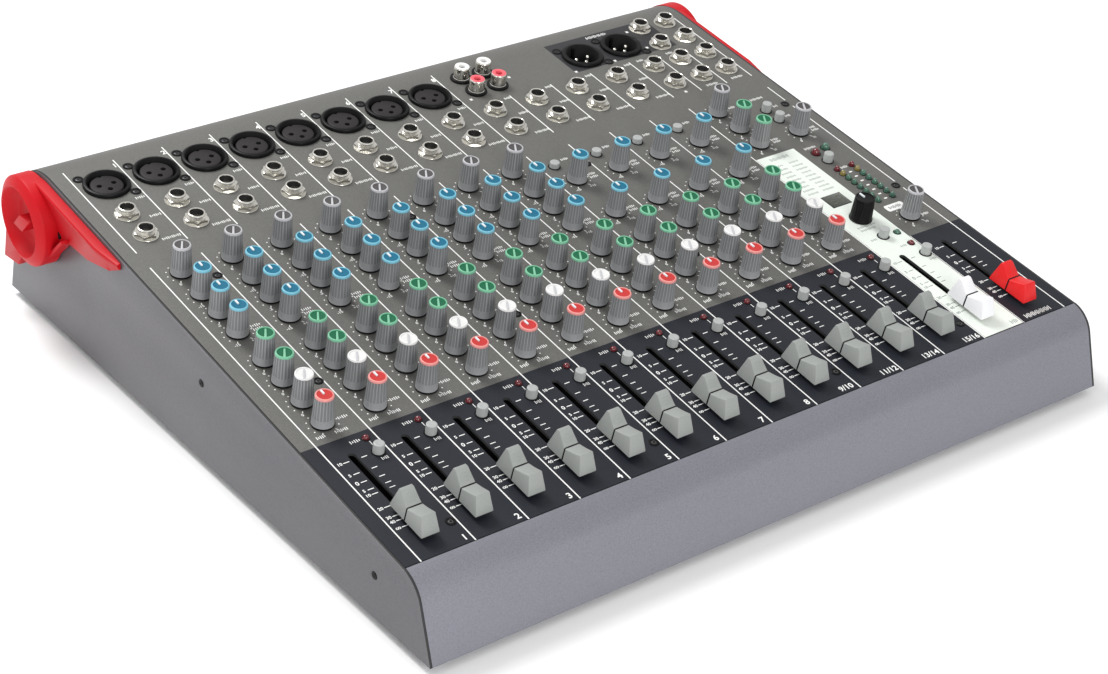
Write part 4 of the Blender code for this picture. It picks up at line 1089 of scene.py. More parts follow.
def build_buttons():
    meshes = {"_button": button_mesh(), "_switch": button_mesh(SWITCH_TOP)}
    moving = {(round(place.translation.x, 4), round(place.translation.y, 4))
              for place in map(joint_spot, BUTTON_NODES)}
    fixed = {"listen_buttons": ("_button", LISTEN_PLACES), "level_switches": ("_switch", SWITCH_PLACES)}
    for name, (kind, places) in fixed.items():
        frames = [spot(*place) for place in places]
        frames = [place for place in frames
                  if min(math.dist((place.translation.x, place.translation.y), other)
                         for other in moving) > 2 * MM]
        add_piece(name, stamp(name, meshes[kind], frames, ["button"]), PANEL, sharp=40)
    for node in BUTTON_NODES:
        name = node.replace("_button", "_push_button").replace("_switch", "_push_switch")
        add_piece(name, meshes[node[-7:]].copy(), PANEL @ joint_spot(node), body=node, stands_for=[node],
                  sharp=40)
    # black rings round all buttons, painted shade for the gaps round them
    add_piece("button_bezels", stamp("button_bezels", bezel_mesh(), button_spots(), ["black"]), sharp=40)


CAP_BASE = 2.4 * MM
CAP_EDGE = 0.8 * MM
CAP_HALF_LENGTH = 12 * MM
CAP_HALF_WIDTH = 4.6 * MM
CAP_DRAFT = 0.13  # how fast the sides lean in
CAP_VALLEY = (0.7 * MM, 8.6 * MM)  # along and up
FRONT_RIDGE = (-9.2 * MM, 11.5 * MM)
REAR_RIDGE = (8.3 * MM, 13.6 * MM)
# half the width of the black band at the cap's valley, painted shade for its groove
CAP_LINE_HALF = 0.4 * MM
CAP_GRIPS = (0.30, 0.52, 0.74)  # places of the finger bars between the valley and the rear ridge


def cap_path():
    """Side view of a fader cap from its front foot over both ridges to its rear foot, as (along, up)."""
    foot = CAP_BASE + CAP_EDGE
    front, rear, valley = Vector(FRONT_RIDGE), Vector(REAR_RIDGE), Vector(CAP_VALLEY)
    flat = Vector((1.8 * MM, 0))
    return [
        Vector((-CAP_HALF_LENGTH, CAP_BASE)), Vector((-CAP_HALF_LENGTH, foot)),
        front - Vector((0.25 * MM, 0.35 * MM)), front + Vector((0.25 * MM, 0)),
        front.lerp(valley, 0.5) - Vector((0, 0.25 * MM)), valley - Vector((0.6 * MM, 0)),
        valley + Vector((0.6 * MM, 0)),
        valley.lerp(rear - flat, 0.5) - Vector((0, 0.35 * MM)),
        rear - flat, rear - Vector((0.15 * MM, 0)), rear + Vector((0.25 * MM, -0.4 * MM)),
        Vector((CAP_HALF_LENGTH, foot)), Vector((CAP_HALF_LENGTH, CAP_BASE)),
    ]


def cap_half_width(up):
    return CAP_HALF_WIDTH - CAP_DRAFT * (up - CAP_BASE)


def cap_mesh(paint):
    """A fader cap with drafted, softly edged sides, a black band round it at its valley that is painted shade
    for the groove there, finger bars and its stem.
    """
    path = cap_path()
    soft = 0.35 * MM
    bm = bmesh.new()
    rows = []
    for index, point in enumerate(path):
        before, after = path[max(index - 1, 0)], path[min(index + 1, len(path) - 1)]
        run = (after - before).normalized()
        inside = point + Vector((run.y, -run.x)) * soft
        middle = point.lerp(inside, 0.3)
        edges = ((cap_half_width(inside.y), inside), (cap_half_width(middle.y) - soft * 0.3, middle),
                 (cap_half_width(point.y) - soft, point))
        row = [bm.verts.new((-across, *place)) for across, place in edges]
        row += [bm.verts.new((across, *place)) for across, place in reversed(edges)]
        rows.append(row)
    faces = []
    for first, second in zip(rows, rows[1:]):
        for index in range(5):
            faces.append(bm.faces.new((first[index], second[index], second[index + 1], first[index + 1])))
    faces.append(bm.faces.new([row[0] for row in rows]))
    faces.append(bm.faces.new([row[-1] for row in reversed(rows)]))
    faces.append(bm.faces.new(list(reversed(rows[0])) + rows[-1]))
    settle(bm, faces, [], None, 0)
    # a black band across the top and down the sides at the valley: painted shade for the groove round the cap
    along, up = CAP_VALLEY
    proud = 0.05 * MM
    low, high = cap_half_width(CAP_BASE) + proud, cap_half_width(up) + proud
    outline = [(-low, CAP_BASE + 0.1 * MM), (low, CAP_BASE + 0.1 * MM), (high, up - 0.2 * MM),
               (high - soft, up + proud),
               (soft - high, up + proud), (-high, up - 0.2 * MM)]
    upright = Matrix.Translation((0, along, 0)) @ Matrix.Rotation(math.pi / 2, 4, "X")
    add_prism(bm, outline, -CAP_LINE_HALF, CAP_LINE_HALF, upright, paint=1)
    start, end = path[6], path[8]
    climb = end - start
    for share in CAP_GRIPS:
        place = start + climb * share - Vector((0, 1.4 * MM * share * (1 - share)))
        lean = Matrix.Translation((0, *place)) @ Matrix.Rotation(math.atan2(climb.y, climb.x), 4, "X")
        add_block(bm, mm(-1.8, -0.35, -0.5), mm(1.8, 0.35, 0.22), lean, 0, bevel=0.15 * MM)
    add_block(bm, mm(-0.7, -2, -9), (0.7 * MM, 2 * MM, CAP_BASE + 1 * MM), paint=2, bevel=0.15 * MM)
    return to_mesh(bm, "cap", [paint, "black", "steel"])


def build_faders():
    colours = {"effect_fader": "cap_white", "main_fader": "cap_red"}
    meshes = {paint: cap_mesh(paint) for paint in ("cap_grey", "cap_white", "cap_red")}
    for node in FADER_NODES:
        paint = colours.get(node, "cap_grey")
        low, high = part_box(node)
        centre = TO_PANEL @ ((low + high) / 2)
        place = PANEL @ Matrix.Translation((centre.x, CLOSED_ROW * PITCH, 0))
        add_piece(node.replace("fader", "fader_cap"), meshes[paint].copy(), place, body=node,
                  stands_for=[node],
                  sharp=40)


# Sockets and lights


CONTACTS = [mm(-3.9, 0.3), mm(3.9, 0.3), mm(0, -3.9)]
# Millimetres from an XLR socket's foot up to the top of its raised ring
SOCKET_RING = [(0, -12, 0), (10.4, -12, 0), (10.4, -0.3, 0), (11.75, 0.02, 0), (11.75, 1.1, 0),
               (11.4, 1.75, 0), (10.85, 2, 0)]


def microphone_mesh():
    """An XLR socket: raised ring, deep groove, insert with three holes and a key notch."""
    bm = bmesh.new()
    insert = [(10.2, 2, 0), (9.9, 1.65, 2), (9.8, -9, 2), (8.2, -9, 2), (8.2, 0, 1), (7.9, 0.35, 1),
              (7.4, 0.5, 1), (0, 0.5, 1)]
    add_lathe(bm, in_mm(SOCKET_RING + insert), 72)
    body = to_mesh(bm, "socket", ["socket_black", "socket_face", "bore"])
    cuts = bmesh.new()
    for x, y in CONTACTS:
        add_prism(cuts, circle(1.35 * MM, 20, (x, y)), -4 * MM, 4 * MM, paint=2)
    add_prism(cuts, circle(1.1 * MM, 16, (0, 7.9 * MM)), -4 * MM, 4 * MM, paint=2)
    return boolean(body, to_mesh(cuts, "cuts", ["socket_black", "socket_face", "bore"]), "DIFFERENCE")


def output_mesh():
    """An XLR plug in the panel: raised ring, deep cup and three bright pins."""
    bm = bmesh.new()
    cup = [(9.6, 2, 0), (9.2, 1.6, 1), (9, -10.5, 1), (0, -10.5, 1)]
    add_lathe(bm, in_mm(SOCKET_RING + cup), 72)
    for x, y in CONTACTS:
        place = Matrix.Translation((x, y, 0))
        add_lathe(bm, in_mm([(0, -11, 2), (1.15, -11, 2), (1.15, -1.4, 2), (0.95, -0.8, 2),
                       (0.5, -0.4, 2), (0, -0.3, 2)]), 20, place)
    add_block(bm, mm(-0.9, 8.0, -9), mm(0.9, 9.2, 0.5), paint=0, bevel=0.2 * MM)
    return to_mesh(bm, "output", ["socket_black", "bore", "nickel"])


def jack_mesh():
    """A 6.35 mm jack: washer, low hexagon nut, threaded bush with a bright rim, and its bore."""
    bm = bmesh.new()
    add_ring(bm, in_mm([(5.2, 0, 0), (6.3, 0, 0), (6.35, 0.25, 0), (6.2, 0.45, 0),
                  (5.2, 0.45, 0)]), 40)
    nut = bmesh.new()
    add_prism(nut, circle(6.0 * MM, 6, start=0.3), 0.45 * MM, 2.2 * MM)
    chamfer = bmesh.new()
    add_lathe(chamfer, in_mm([(0, 0.3, 0), (6.1, 0.3, 0), (6.1, 1.85, 0), (5.45, 2.22, 0),
                        (0, 2.3, 0)]), 48)
    shaped = boolean(to_mesh(nut, "nut", ["nickel"]), to_mesh(chamfer, "chamfer", ["nickel"]), "INTERSECT")
    bm.from_mesh(shaped)
    thread = []
    for step in range(5):
        level = 2.2 + step * 0.36
        thread += [(4.4, level, 0), (4.15, level + 0.18, 0)]
    foot = [(0, -15, 2), (4.4, -15, 2), (4.4, 0.4, 0), (4.4, 2, 0)]
    rim = [(4.4, 4, 0), (4.4, 4.3, 0), (4.1, 4.65, 0), (3.65, 4.75, 0), (3.45, 4.6, 0), (3.3, 4.2, 1),
           (3.25, -11, 1), (0, -11, 1)]
    add_lathe(bm, in_mm(foot + thread + rim), 40)
    return to_mesh(bm, "jack", ["nickel", "bore", "socket_black"])


def phono_mesh(colour):
    """A phono socket: black foot, bright shell and a coloured insulator with its hole."""
    bm = bmesh.new()
    add_lathe(bm, in_mm([(0, -4, 0), (4.1, -4, 0), (4.1, 0.1, 0), (5.9, 0.1, 0), (5.9, 0.9, 0),
                   (5.5, 1.3, 0), (4.4, 1.4, 1), (4.2, 1.6, 1), (4.2, 6.9, 1),
                   (4.1, 7.6, 1), (3.85, 7.9, 2), (3.5, 8.1, 2), (2.6, 8.15, 2),
                   (2.0, 7.9, 2), (1.8, 7.4, 2), (1.7, 6, 3), (1.7, -2, 3), (0, -2, 3)]), 40)
    return to_mesh(bm, "phono", ["socket_black", "nickel", f"phono_{colour}", "bore"])


def flange_screw_mesh():
    """A black countersunk ring with a bright screw head in it."""
    bm = bmesh.new()
    add_ring(bm, in_mm([(1.5, -0.3, 0), (2.6, -0.1, 0), (2.75, 0.25, 0), (2.5, 0.5, 0),
                  (1.7, 0.5, 0), (1.5, 0.2, 0)]), 28)
    add_screw(bm, Matrix.Translation((0, 0, -0.1 * MM)), 1.6 * MM, 0.45 * MM, paint=1, dark=2)
    return to_mesh(bm, "flange_screw", ["socket_black", "dark_steel", "bore"])


SCREW_OFFSETS = ((-0.373, 0.38), (0.372, -0.40))  # of an XLR socket's screws from its middle, in pitches


def build_sockets():
    sockets = {"microphone_sockets": (microphone_mesh(), MICROPHONES,
                                      ["socket_black", "socket_face", "bore"]),
               "main_output_sockets": (output_mesh(), MAIN_OUTPUTS, ["socket_black", "bore", "nickel"])}
    for name, (mesh, places, paints) in sockets.items():
        add_piece(name, stamp(name, mesh, [spot(*place) for place in places], paints))
    # each nut stands at another angle
    frames = [spot(*place, turn=37 * index % 60) for index, place in enumerate(JACKS)]
    add_piece("jack_sockets", stamp("jack_sockets", jack_mesh(), frames,
                                    ["nickel", "bore", "socket_black"]),
              stands_for=["connector_board"], sharp=30)
    for colour, places in PHONO_SOCKETS.items():
        paints = ["socket_black", "nickel", f"phono_{colour}", "bore"]
        add_piece(f"{colour}_phono_sockets", stamp("phono", phono_mesh(colour),
                                                   [spot(*place) for place in places], paints))
    paints = ["socket_black", "dark_steel", "bore"]
    frames = [spot(column + across, row + along) for column, row in MICROPHONES + list(MAIN_OUTPUTS)
              for across, along in SCREW_OFFSETS]
    add_piece("socket_screws", stamp("socket_screws", flange_screw_mesh(), frames, paints))


def lens_mesh(paint, radius, rise):
    """A small round lamp: its rim and a domed lens."""
    bm = bmesh.new()
    profile = [(0, -1.2 * MM, 1), (radius * 1.05, -1.2 * MM, 1), (radius * 1.3, 0.02 * MM, 1),
               (radius * 1.3, 0.15 * MM, 1),
               (radius * 1.05, 0.2 * MM, 0)]
    steps = 7
    for step in range(steps + 1):
        angle = math.pi / 2 * step / steps
        profile.append((radius * math.cos(angle) if step < steps else 0,
                        0.2 * MM + (rise - 0.2 * MM) * math.sin(angle), 0))
    add_lathe(bm, profile, 24)
    return to_mesh(bm, "lens", [paint, "black"])


def build_lights():
    peaks = strip_places(CHANNELS, PEAK_LIGHT[0], PEAK_LIGHT[1:]) + [(12.853, 2.838)]
    small, large = mm(1.6, 1.8), mm(2.2, 3.2)
    lights = (("red_lights", "red_lens", small, peaks),
              ("effect_light", "green_lens", small, [(12.855, 3.227)]),
              ("power_light", "green_lens", large, [(13.58, 6.10)]),
              ("phantom_light", "red_lens", large, [(13.27, 6.03)]))
    for name, paint, size, places in lights:
        frames = [spot(*place) for place in places]
        add_piece(name, stamp(name, lens_mesh(paint, *size), frames, [paint, "black"]))


def meter_rows():
    low, high = METER_ROWS
    step = (high - low) / METER_LIGHTS
    return [low + (light + 0.5) * step for light in range(METER_LIGHTS)]


def build_meter():
    """Two columns of round lamps: from the rear one red, one amber and the rest green."""
    bm = bmesh.new()
    paints = ["red_lens", "amber_lens", "green_lens", "black"]
    for count, row in enumerate(reversed(meter_rows())):
        lens = min(count, 2)
        for column in METER_COLUMNS:
            lamp = lens_mesh(paints[lens], 1.5 * MM, 2.6 * MM)
            lamp.transform(spot(column, row))
            for face in lamp.polygons:
                face.material_index = lens if face.material_index == 0 else 3
            bm.from_mesh(lamp)
            bpy.data.meshes.remove(lamp)
    add_piece("level_meter", to_mesh(bm, "meter", paints))


def display_spot():
    """The middle of the display window and half its size across and along."""
    (left, front), (right, rear) = DISPLAY
    middle = spot((left + right) / 2, (front + rear) / 2)
    return middle, (right - left) * PITCH / 2, (rear - front) * PITCH / 2


def build_display():
    """The effects number display: a dark window with two unlit seven-bar digits."""
    middle, half_across, half_along = display_spot()
    bm = bmesh.new()
    add_block(bm, (-half_across, -half_along, -6 * MM), (half_across, half_along, 0.35 * MM), middle, 0,
              bevel=0.2 * MM)
    wide, tall, stroke = 2.6 * MM, 5.4 * MM, 0.42 * MM
    for centre in (-half_across * 0.45, half_across * 0.45):
        for level in (-tall / 2, 0, tall / 2):
            add_block(bm, (centre - wide / 2, level - stroke, 0.3 * MM),
                      (centre + wide / 2, level + stroke, 0.39 * MM), middle, 1)
        for across in (-wide / 2 - stroke, wide / 2 + stroke):
            for level in (-tall / 4, tall / 4):
                add_block(bm, (centre + across - stroke / 2, level - tall / 4 + stroke, 0.3 * MM),
                          (centre + across + stroke / 2, level + tall / 4 - stroke, 0.39 * MM), middle, 1)
    add_piece("display_window", to_mesh(bm, "display", ["window", "segment"]))


# Print on the panel


def add_bar(bm, column, row, across, along, turn=0.0):
    """A printed bar centred on a place, with its size in metres."""
    add_block(bm, (-across / 2, -along / 2, -INK / 2), (across / 2, along / 2, INK),
              spot(column, row, turn))


def line_between(bm, start, end, width):
    """A printed line between two places on the grid."""
    run = Vector((end[0] - start[0], end[1] - start[1])) * PITCH
    turn = math.degrees(math.atan2(run.y, run.x))
    add_bar(bm, (start[0] + end[0]) / 2, (start[1] + end[1]) / 2, run.length, width, turn)


LINE = 0.62 * MM
EDGE_RINGS = ((13.935, 7.73), (13.951, 4.442))


def build_lines():
    """Lines between the strips, beside the jacks and along the edges."""
    bm = bmesh.new()
    for column in range(0, 13):
        line_between(bm, (column, 0.0), (column, 8.45), LINE)
        line_between(bm, (column, 8.93), (column, 11.72 if column < 9 else 10.42), LINE)
    line_between(bm, (13.0, 0.0), (13.0, FADER_ZONE), LINE * 0.6)
    for column, rear in ((12.705, 10.40), (13.375, 10.40), (14.035, 11.47)):
        line_between(bm, (column, 8.90), (column, rear), LINE)
    gaps = [0.0] + [row + across for _, row in reversed(EDGE_RINGS) for across in (-0.12, 0.12)] + [8.40]
    for start, end in zip(gaps[::2], gaps[1::2]):
        line_between(bm, (14.04, start), (14.04, end), LINE)
    for row in (6.79, 7.40):
        line_between(bm, (12.62, row + 0.25), (12.90, row + 0.25), LINE * 0.7)
    add_piece("strip_lines", to_mesh(bm, "lines", ["ink"]))


FADER_SCALE = (("10", 2.474), ("5", 2.172), ("0", 1.958), ("5", 1.759), ("10", 1.641), ("20", 1.289),
               ("30", 1.057),
               ("40", 0.947), ("", 0.788))
RIGHT_MARKS = (2.468, 2.169, 1.947, 1.772, 1.649)


def text_mesh(text, size):
    """Flat raised figures, centred on the origin."""
    curve = bpy.data.curves.new("figures", "FONT")
    curve.body = text
    curve.size = size
    curve.extrude = INK / 2
    curve.offset = size * 0.022
    curve.resolution_u = 2
    curve.align_x = "CENTER"
    curve.align_y = "CENTER"
    holder = bpy.data.objects.new("figures", curve)
    bpy.context.scene.collection.objects.link(holder)
    bpy.context.view_layer.update()
    mesh = bpy.data.meshes.new_from_object(holder.evaluated_get(bpy.context.evaluated_depsgraph_get()))
    bpy.data.objects.remove(holder)
    mesh.transform(Matrix.Translation((0, 0, INK / 2)))
    return mesh


class Figures:
    """Collects figures in one mesh."""

    def __init__(self):
        self.bm = bmesh.new()
        self.known = {}

    def add(self, text, size, place):
        key = (text, size)
        if key not in self.known:
            self.known[key] = text_mesh(text, size)
        copy = self.known[key].copy()
        copy.transform(place)
        self.bm.from_mesh(copy)
        bpy.data.meshes.remove(copy)


def build_fader_scales():
    """Marks and figures beside each fader: white on the dark zone and grey on the white strip."""
    marks = {"ink": bmesh.new(), "grey_ink": bmesh.new()}
    figures = {"ink": Figures(), "grey_ink": Figures()}
    for column in FADER_COLUMNS:
        paint = "grey_ink" if STRIP_COLUMNS[0] < column < STRIP_COLUMNS[1] else "ink"
        bm = marks[paint]
        for label, row in FADER_SCALE:
            add_bar(bm, column - 0.165, row, 3.0 * MM, 0.45 * MM)
            if label:
                size = 3.3 * MM if label == "0" else 2.5 * MM
                figures[paint].add(label, size, spot(column - 0.285, row))
            else:
                for side in (-1, 1):
                    loop = [(0.35 * MM, 0, 0), (0.70 * MM, 0, 0), (0.70 * MM, INK, 0), (0.35 * MM, INK, 0)]
                    add_ring(bm, loop, 14, spot(column - 0.285 + side * 0.021, row))
        for row in RIGHT_MARKS:
            add_bar(bm, column + 0.165, row, 2.8 * MM, 0.45 * MM)
    for paint, name in (("ink", "fader_scale"), ("grey_ink", "effect_fader_scale")):
        add_piece(f"{name}_marks", to_mesh(marks[paint], name, [paint]))
        add_piece(f"{name}_figures", to_mesh(figures[paint].bm, name, [paint]))


def dial_dots(bm, place, radius):
    """Eleven dots round a knob, with longer marks at the ends of its travel."""
    for step in range(11):
        angle = math.radians(-60 + 30 * step)
        centre = (radius * math.cos(angle), radius * math.sin(angle))
        if step in (0, 10):
            mark = place @ Matrix.Translation((*centre, 0)) @ Matrix.Rotation(angle, 4, "Z")
            add_block(bm, (-0.6 * MM, -0.26 * MM, -INK / 2), (0.8 * MM, 0.26 * MM, INK), mark)
        else:
            add_prism(bm, circle(0.36 * MM, 10, centre), -INK / 2, INK, place)


DIAL_ENDS = {"high": ("-15", "+15"), "mid": ("-15", "+15"), "low": ("-15", "+15"),
             "mid_frequency": (".2", "8"),
             "gain": ("0", "50"), "pan": ("", ""), "balance": ("", "")}


def build_dial_scales():
    dots, figures = bmesh.new(), Figures()
    radius = KNOB_RADIUS + 1.9 * MM
    for strips, rows in ((MONO_STRIPS, MONO_ROWS), (STEREO_STRIPS, STEREO_ROWS)):
        for strip in strips:
            for name, row in rows.items():
                place = spot(strip - 1 + KNOB_COLUMN, row)
                dial_dots(dots, place, radius)
                add_dial_ends(figures, place, DIAL_ENDS.get(name, ("0", "10")), radius)
    for node in KNOB_NODES:
        if not node.startswith("strip_"):
            dial_dots(dots, joint_spot(node), radius + (0.7 * MM if node == "effect_selector_knob" else 0))
            if node != "effect_selector_knob":
                add_dial_ends(figures, joint_spot(node), ("0", "10"), radius)
    add_piece("dial_dots", to_mesh(dots, "dots", ["ink"]))
    add_piece("dial_figures", to_mesh(figures.bm, "figures", ["ink"]))


def add_dial_ends(figures, place, labels, radius):
    for label, angle in zip(labels, (-120, -60)):
        if label:
            turn = math.radians(angle)
            reach = radius + 2.1 * MM
            figures.add(label, 2.3 * MM,
                        place @ Matrix.Translation((reach * math.cos(turn), reach * math.sin(turn), 0)))


STROKE = 0.45 * MM
TALLY = 1.0 * MM  # from one upright to the next, in a generic word mark


def add_label(bm, column, row, length, height=1.9 * MM):
    """A generic mark where a word would be printed: a row of plain uprights of two heights, no letters."""
    count = max(3, round(length / TALLY))
    middle = spot(column, row)
    for index in range(count):
        across = (index - (count - 1) / 2) * length / count
        reach = height / 2 * (0.62 if index % 3 == 1 else 1.0)
        add_block(bm, (across - STROKE / 2, -reach, -INK / 2), (across + STROKE / 2, reach, INK), middle)


# Marks of words as (column, row, length in millimetres), the columns counted from a strip's left line
MONO_WORDS = ((0.871, 10.437, 5.2), (0.848, 9.825, 6.2), (0.775, 9.108, 10.0), (0.77, 6.217, 5.4),
              (0.77, 6.117, 5.4),
              (0.777, 3.47, 5.2))
STEREO_WORDS = ((0.917, 10.36, 4.6), (0.88, 9.783, 5.6), (0.83, 9.078, 9.0), (0.615, 8.065, 4.6),
                (0.78, 7.426, 5.2),
                (0.78, 7.326, 5.2), (0.78, 6.196, 5.2), (0.78, 6.096, 5.2), (0.777, 3.47, 4.8))
CHANNEL_WORDS = ((0.198, 3.19, 4.8), (0.583, 3.19, 6.6), (0.620, 2.850, 5.4), (0.830, 2.290, 3.6))
# and the same in the master section, with the columns of the whole panel
MASTER_WORDS = ((12.26, 10.383, 4.6), (13.02, 10.37, 4.6), (13.057, 9.0, 8.0), (13.717, 9.0, 8.0),
                (12.37, 9.0, 1.6),
                (10.78, 10.587, 1.5), (11.78, 10.596, 1.5), (12.73, 11.43, 1.5), (12.73, 10.74, 1.5),
                (12.83, 8.11, 4.6), (13.52, 8.15, 8.6), (13.695, 7.76, 3.2), (13.69, 7.37, 3.8),
                (13.86, 6.82, 3.8),
                (13.86, 6.72, 5.0), (12.85, 6.80, 5.0), (12.85, 6.717, 5.0), (13.30, 6.24, 8.0),
                (13.80, 3.46, 5.0),
                (13.46, 5.406, 4.8), (8.22, 10.62, 1.5), (9.40, 11.0, 1.5))

PRINTED_BOX = (13.43, 3.905)  # the light box over the monitor level


def build_labels():
    """Generic marks in the places of the printed words, and plain numbers for the channels."""
    bm, figures = bmesh.new(), Figures()
    for strips, words in ((MONO_STRIPS, MONO_WORDS), (STEREO_STRIPS, STEREO_WORDS),
                          (CHANNELS, CHANNEL_WORDS)):
        for strip in strips:
            for column, row, length in words:
                add_label(bm, strip - 1 + column, row, length * MM)
    for column, row, length in MASTER_WORDS:
        add_label(bm, column, row, length * MM)
    for strip in MONO_STRIPS:
        figures.add(str(strip), 4.6 * MM, spot(strip - 0.055, 11.54))
        figures.add(str(strip), 4.8 * MM, spot(strip - 0.115, 0.135))
    for index, strip in enumerate(STEREO_STRIPS):
        first = MONO_STRIPS[-1] + 1 + 2 * index
        figures.add(f"{first}/{first + 1}", 4.6 * MM, spot(strip - 0.235, 0.12))
    for strip in CHANNELS:
        add_bar(bm, strip - 0.170, 2.70, 0.4 * MM, 2.6 * MM)
    add_label(bm, 13.46, 0.12, 17.5 * MM, height=3.0 * MM)
    add_label(bm, 12.02, 11.58, 14.0 * MM, height=2.3 * MM)
    for row in meter_rows()[:-1]:
        add_bar(bm, 13.465, row, 2.0 * MM, 0.9 * MM)
    half_across, half_along = 6.2 * MM, 2.6 * MM
    corners = ((-1, -0.6), (-0.9, -1), (0.9, -1), (1, -0.6), (1, 0.6), (0.9, 1), (-0.9, 1), (-1, 0.6))
    box = [(x * half_across, y * half_along) for x, y in corners]
    add_prism(bm, box, -INK / 2, INK, spot(*PRINTED_BOX))
    add_piece("label_marks", to_mesh(bm, "labels", ["ink"]))
    add_piece("channel_figures", to_mesh(figures.bm, "figures", ["ink"]))
    box_print = bmesh.new()
    add_label(box_print, *PRINTED_BOX, 8.5 * MM, height=2.2 * MM)
    add_piece("box_print", to_mesh(box_print, "box_print", ["dark_ink"]),
              PANEL @ Matrix.Translation((0, 0, INK * 1.1)))

# Marks of words on the white strip
STRIP_WORDS = ((12.46, 3.66, 12.0), (12.42, 3.56, 10.0), (12.27, 3.237, 4.0), (12.66, 2.84, 4.0),
               (12.88, 2.275, 4.4))


def build_strip_print():
    """Grey lines of generic print on the white strip."""
    bm = bmesh.new()
    add_label(bm, 12.49, 6.23, 12.5 * MM, height=2.6 * MM)
    for line in range(9):
        row = 6.0 - line * 0.13
        for column, length in ((12.27, 6.2 + (line * 5 % 3) * 0.8), (12.66, 6.4 + (line * 4 % 3) * 0.7)):
            add_label(bm, column, row, length * MM, height=1.5 * MM)
    for column, row, length in STRIP_WORDS:
        add_label(bm, column, row, length * MM, height=1.5 * MM)
    add_label(bm, 12.85, 0.12, 4.8 * MM, height=2.8 * MM)
    add_piece("strip_print", to_mesh(bm, "strip_print", ["grey_ink"]))


SCREW_COLUMNS = (0.915, 4.915, 8.915)
PANEL_SCREWS = (EDGE_RINGS + tuple((column, row) for column in SCREW_COLUMNS for row in (7.74, 4.435))
                + tuple((strip - 0.105, 0.535) for strip in (1, 5, 9, 12)))


def build_panel_screws():
    """A black ring with a bright screw head in it, at each fixing of the panel."""
    bm = bmesh.new()
    add_ring(bm, in_mm([(1.2, -0.3, 0), (2.4, -0.05, 0), (2.5, 0.2, 0), (2.2, 0.45, 0),
                  (1.5, 0.45, 0), (1.2, 0.1, 0)]), 24)
    add_screw(bm, Matrix.Translation((0, 0, -0.15 * MM)), 1.3 * MM, 0.35 * MM, paint=1, dark=0)
    ring = to_mesh(bm, "panel_screw", ["black", "slot_shade_and_screw_grey"])
    frames = [spot(*place) for place in PANEL_SCREWS]
    add_piece("panel_screws", stamp("panel_screws", ring, frames, ["black", "slot_shade_and_screw_grey"]))


# Rear wall and the inside


def build_inlet():
    """Mains inlet with a fuse drawer, three blades and a recess for its rocker."""
    bm = bmesh.new()
    add_block(bm, (-0.0249, -0.0129, -0.022), (0.0249, 0.0129, 0.0008), bevel=0.4 * MM)
    add_block(bm, (-0.0279, -0.0159, 0.0003), (0.0279, 0.0159, 0.0018), bevel=0.7 * MM)
    body = to_mesh(bm, "inlet", ["black", "bore", "nickel"])
    cuts = bmesh.new()
    socket = [(-0.021, -0.008), (0.003, -0.008), (0.003, 0.0045), (-0.0005, 0.008), (-0.0175, 0.008),
              (-0.021, 0.0045)]
    add_prism(cuts, socket, -0.014, 0.004, paint=1)
    add_block(cuts, (0.0085, -0.0108, -0.013), (0.0205, 0.0108, 0.004), paint=1)
    body = boolean(body, to_mesh(cuts, "cuts", ["black", "bore", "nickel"]), "DIFFERENCE")
    bm = bmesh.new()
    bm.from_mesh(body)
    for across, up in ((-0.014, -0.002), (-0.009, 0.002), (-0.004, -0.002)):
        add_block(bm, (across - 0.001, up - 0.002, -0.015), (across + 0.001, up + 0.002, -0.002), paint=2,
                  bevel=0.3 * MM)
    for across in (-0.0255, 0.0255):
        add_screw(bm, Matrix.Translation((across, 0, 0.0018)), 1.5 * MM, 0.4 * MM, paint=2, dark=1)
    add_piece("inlet_socket", to_mesh(bm, "inlet", ["black", "bore", "nickel"]), CASE @ inlet_spot(),
              stands_for=["mains_inlet"])


def build_rocker():
    """The power rocker, tipped to its off side, with a line and a ring on its two halves."""
    wall = (CASE @ inlet_spot()).to_3x3().to_4x4()
    pivot = Matrix.Translation(JOINTS["power_rocker"]["pos_m"])
    place = pivot @ wall @ Matrix.Rotation(math.radians(6), 4, "X")
    half_across, half_up, depth = 0.00515, 0.0081, 0.003
    side = [(-half_up, 0.0030), (-half_up * 0.96, 0.00325), (-half_up * 0.5, 0.00235), (0, 0.00165),
            (half_up * 0.5, 0.00235),
            (half_up * 0.96, 0.00325), (half_up, 0.0030), (half_up * 0.8, -depth), (-half_up * 0.8, -depth)]
    bm = bmesh.new()
    across = Matrix((Vector((0, 1, 0)), Vector((0, 0, 1)), Vector((1, 0, 0)))).transposed().to_4x4()
    add_prism(bm, side, -half_across, half_across, across, paint=0, bevel=0.3 * MM)
    add_block(bm, (-0.0003, half_up * 0.35, 0.0022), (0.0003, half_up * 0.75, 0.00305), paint=1)
    ring = Matrix.Translation((0, -half_up * 0.55, 0.0026)) @ Matrix.Rotation(math.radians(-11), 4, "X")
    add_ring(bm, in_mm([(1.0, -0.3, 1), (1.5, -0.3, 1), (1.5, 0.15, 1), (1.0, 0.15, 1)]), 24, ring)
    add_piece("power_rocker_switch", to_mesh(bm, "rocker", ["black", "ink"]), place, body="power_rocker",
              stands_for=["power_rocker"])


BOARD_LEVEL = -14 * MM  # the boards' upper faces, below the panel
CONNECTOR_LEVEL = -22 * MM


BOARD_EDGE = (0.03, 14.10)  # columns of the boards' outer ends


def add_board_plate(bm, low, high, level):
    start, end = spot(*low).translation, spot(*high).translation
    add_block(bm, (start.x, start.y, level - 1.6 * MM), (end.x, end.y, level), paint=0, bevel=0.2 * MM)


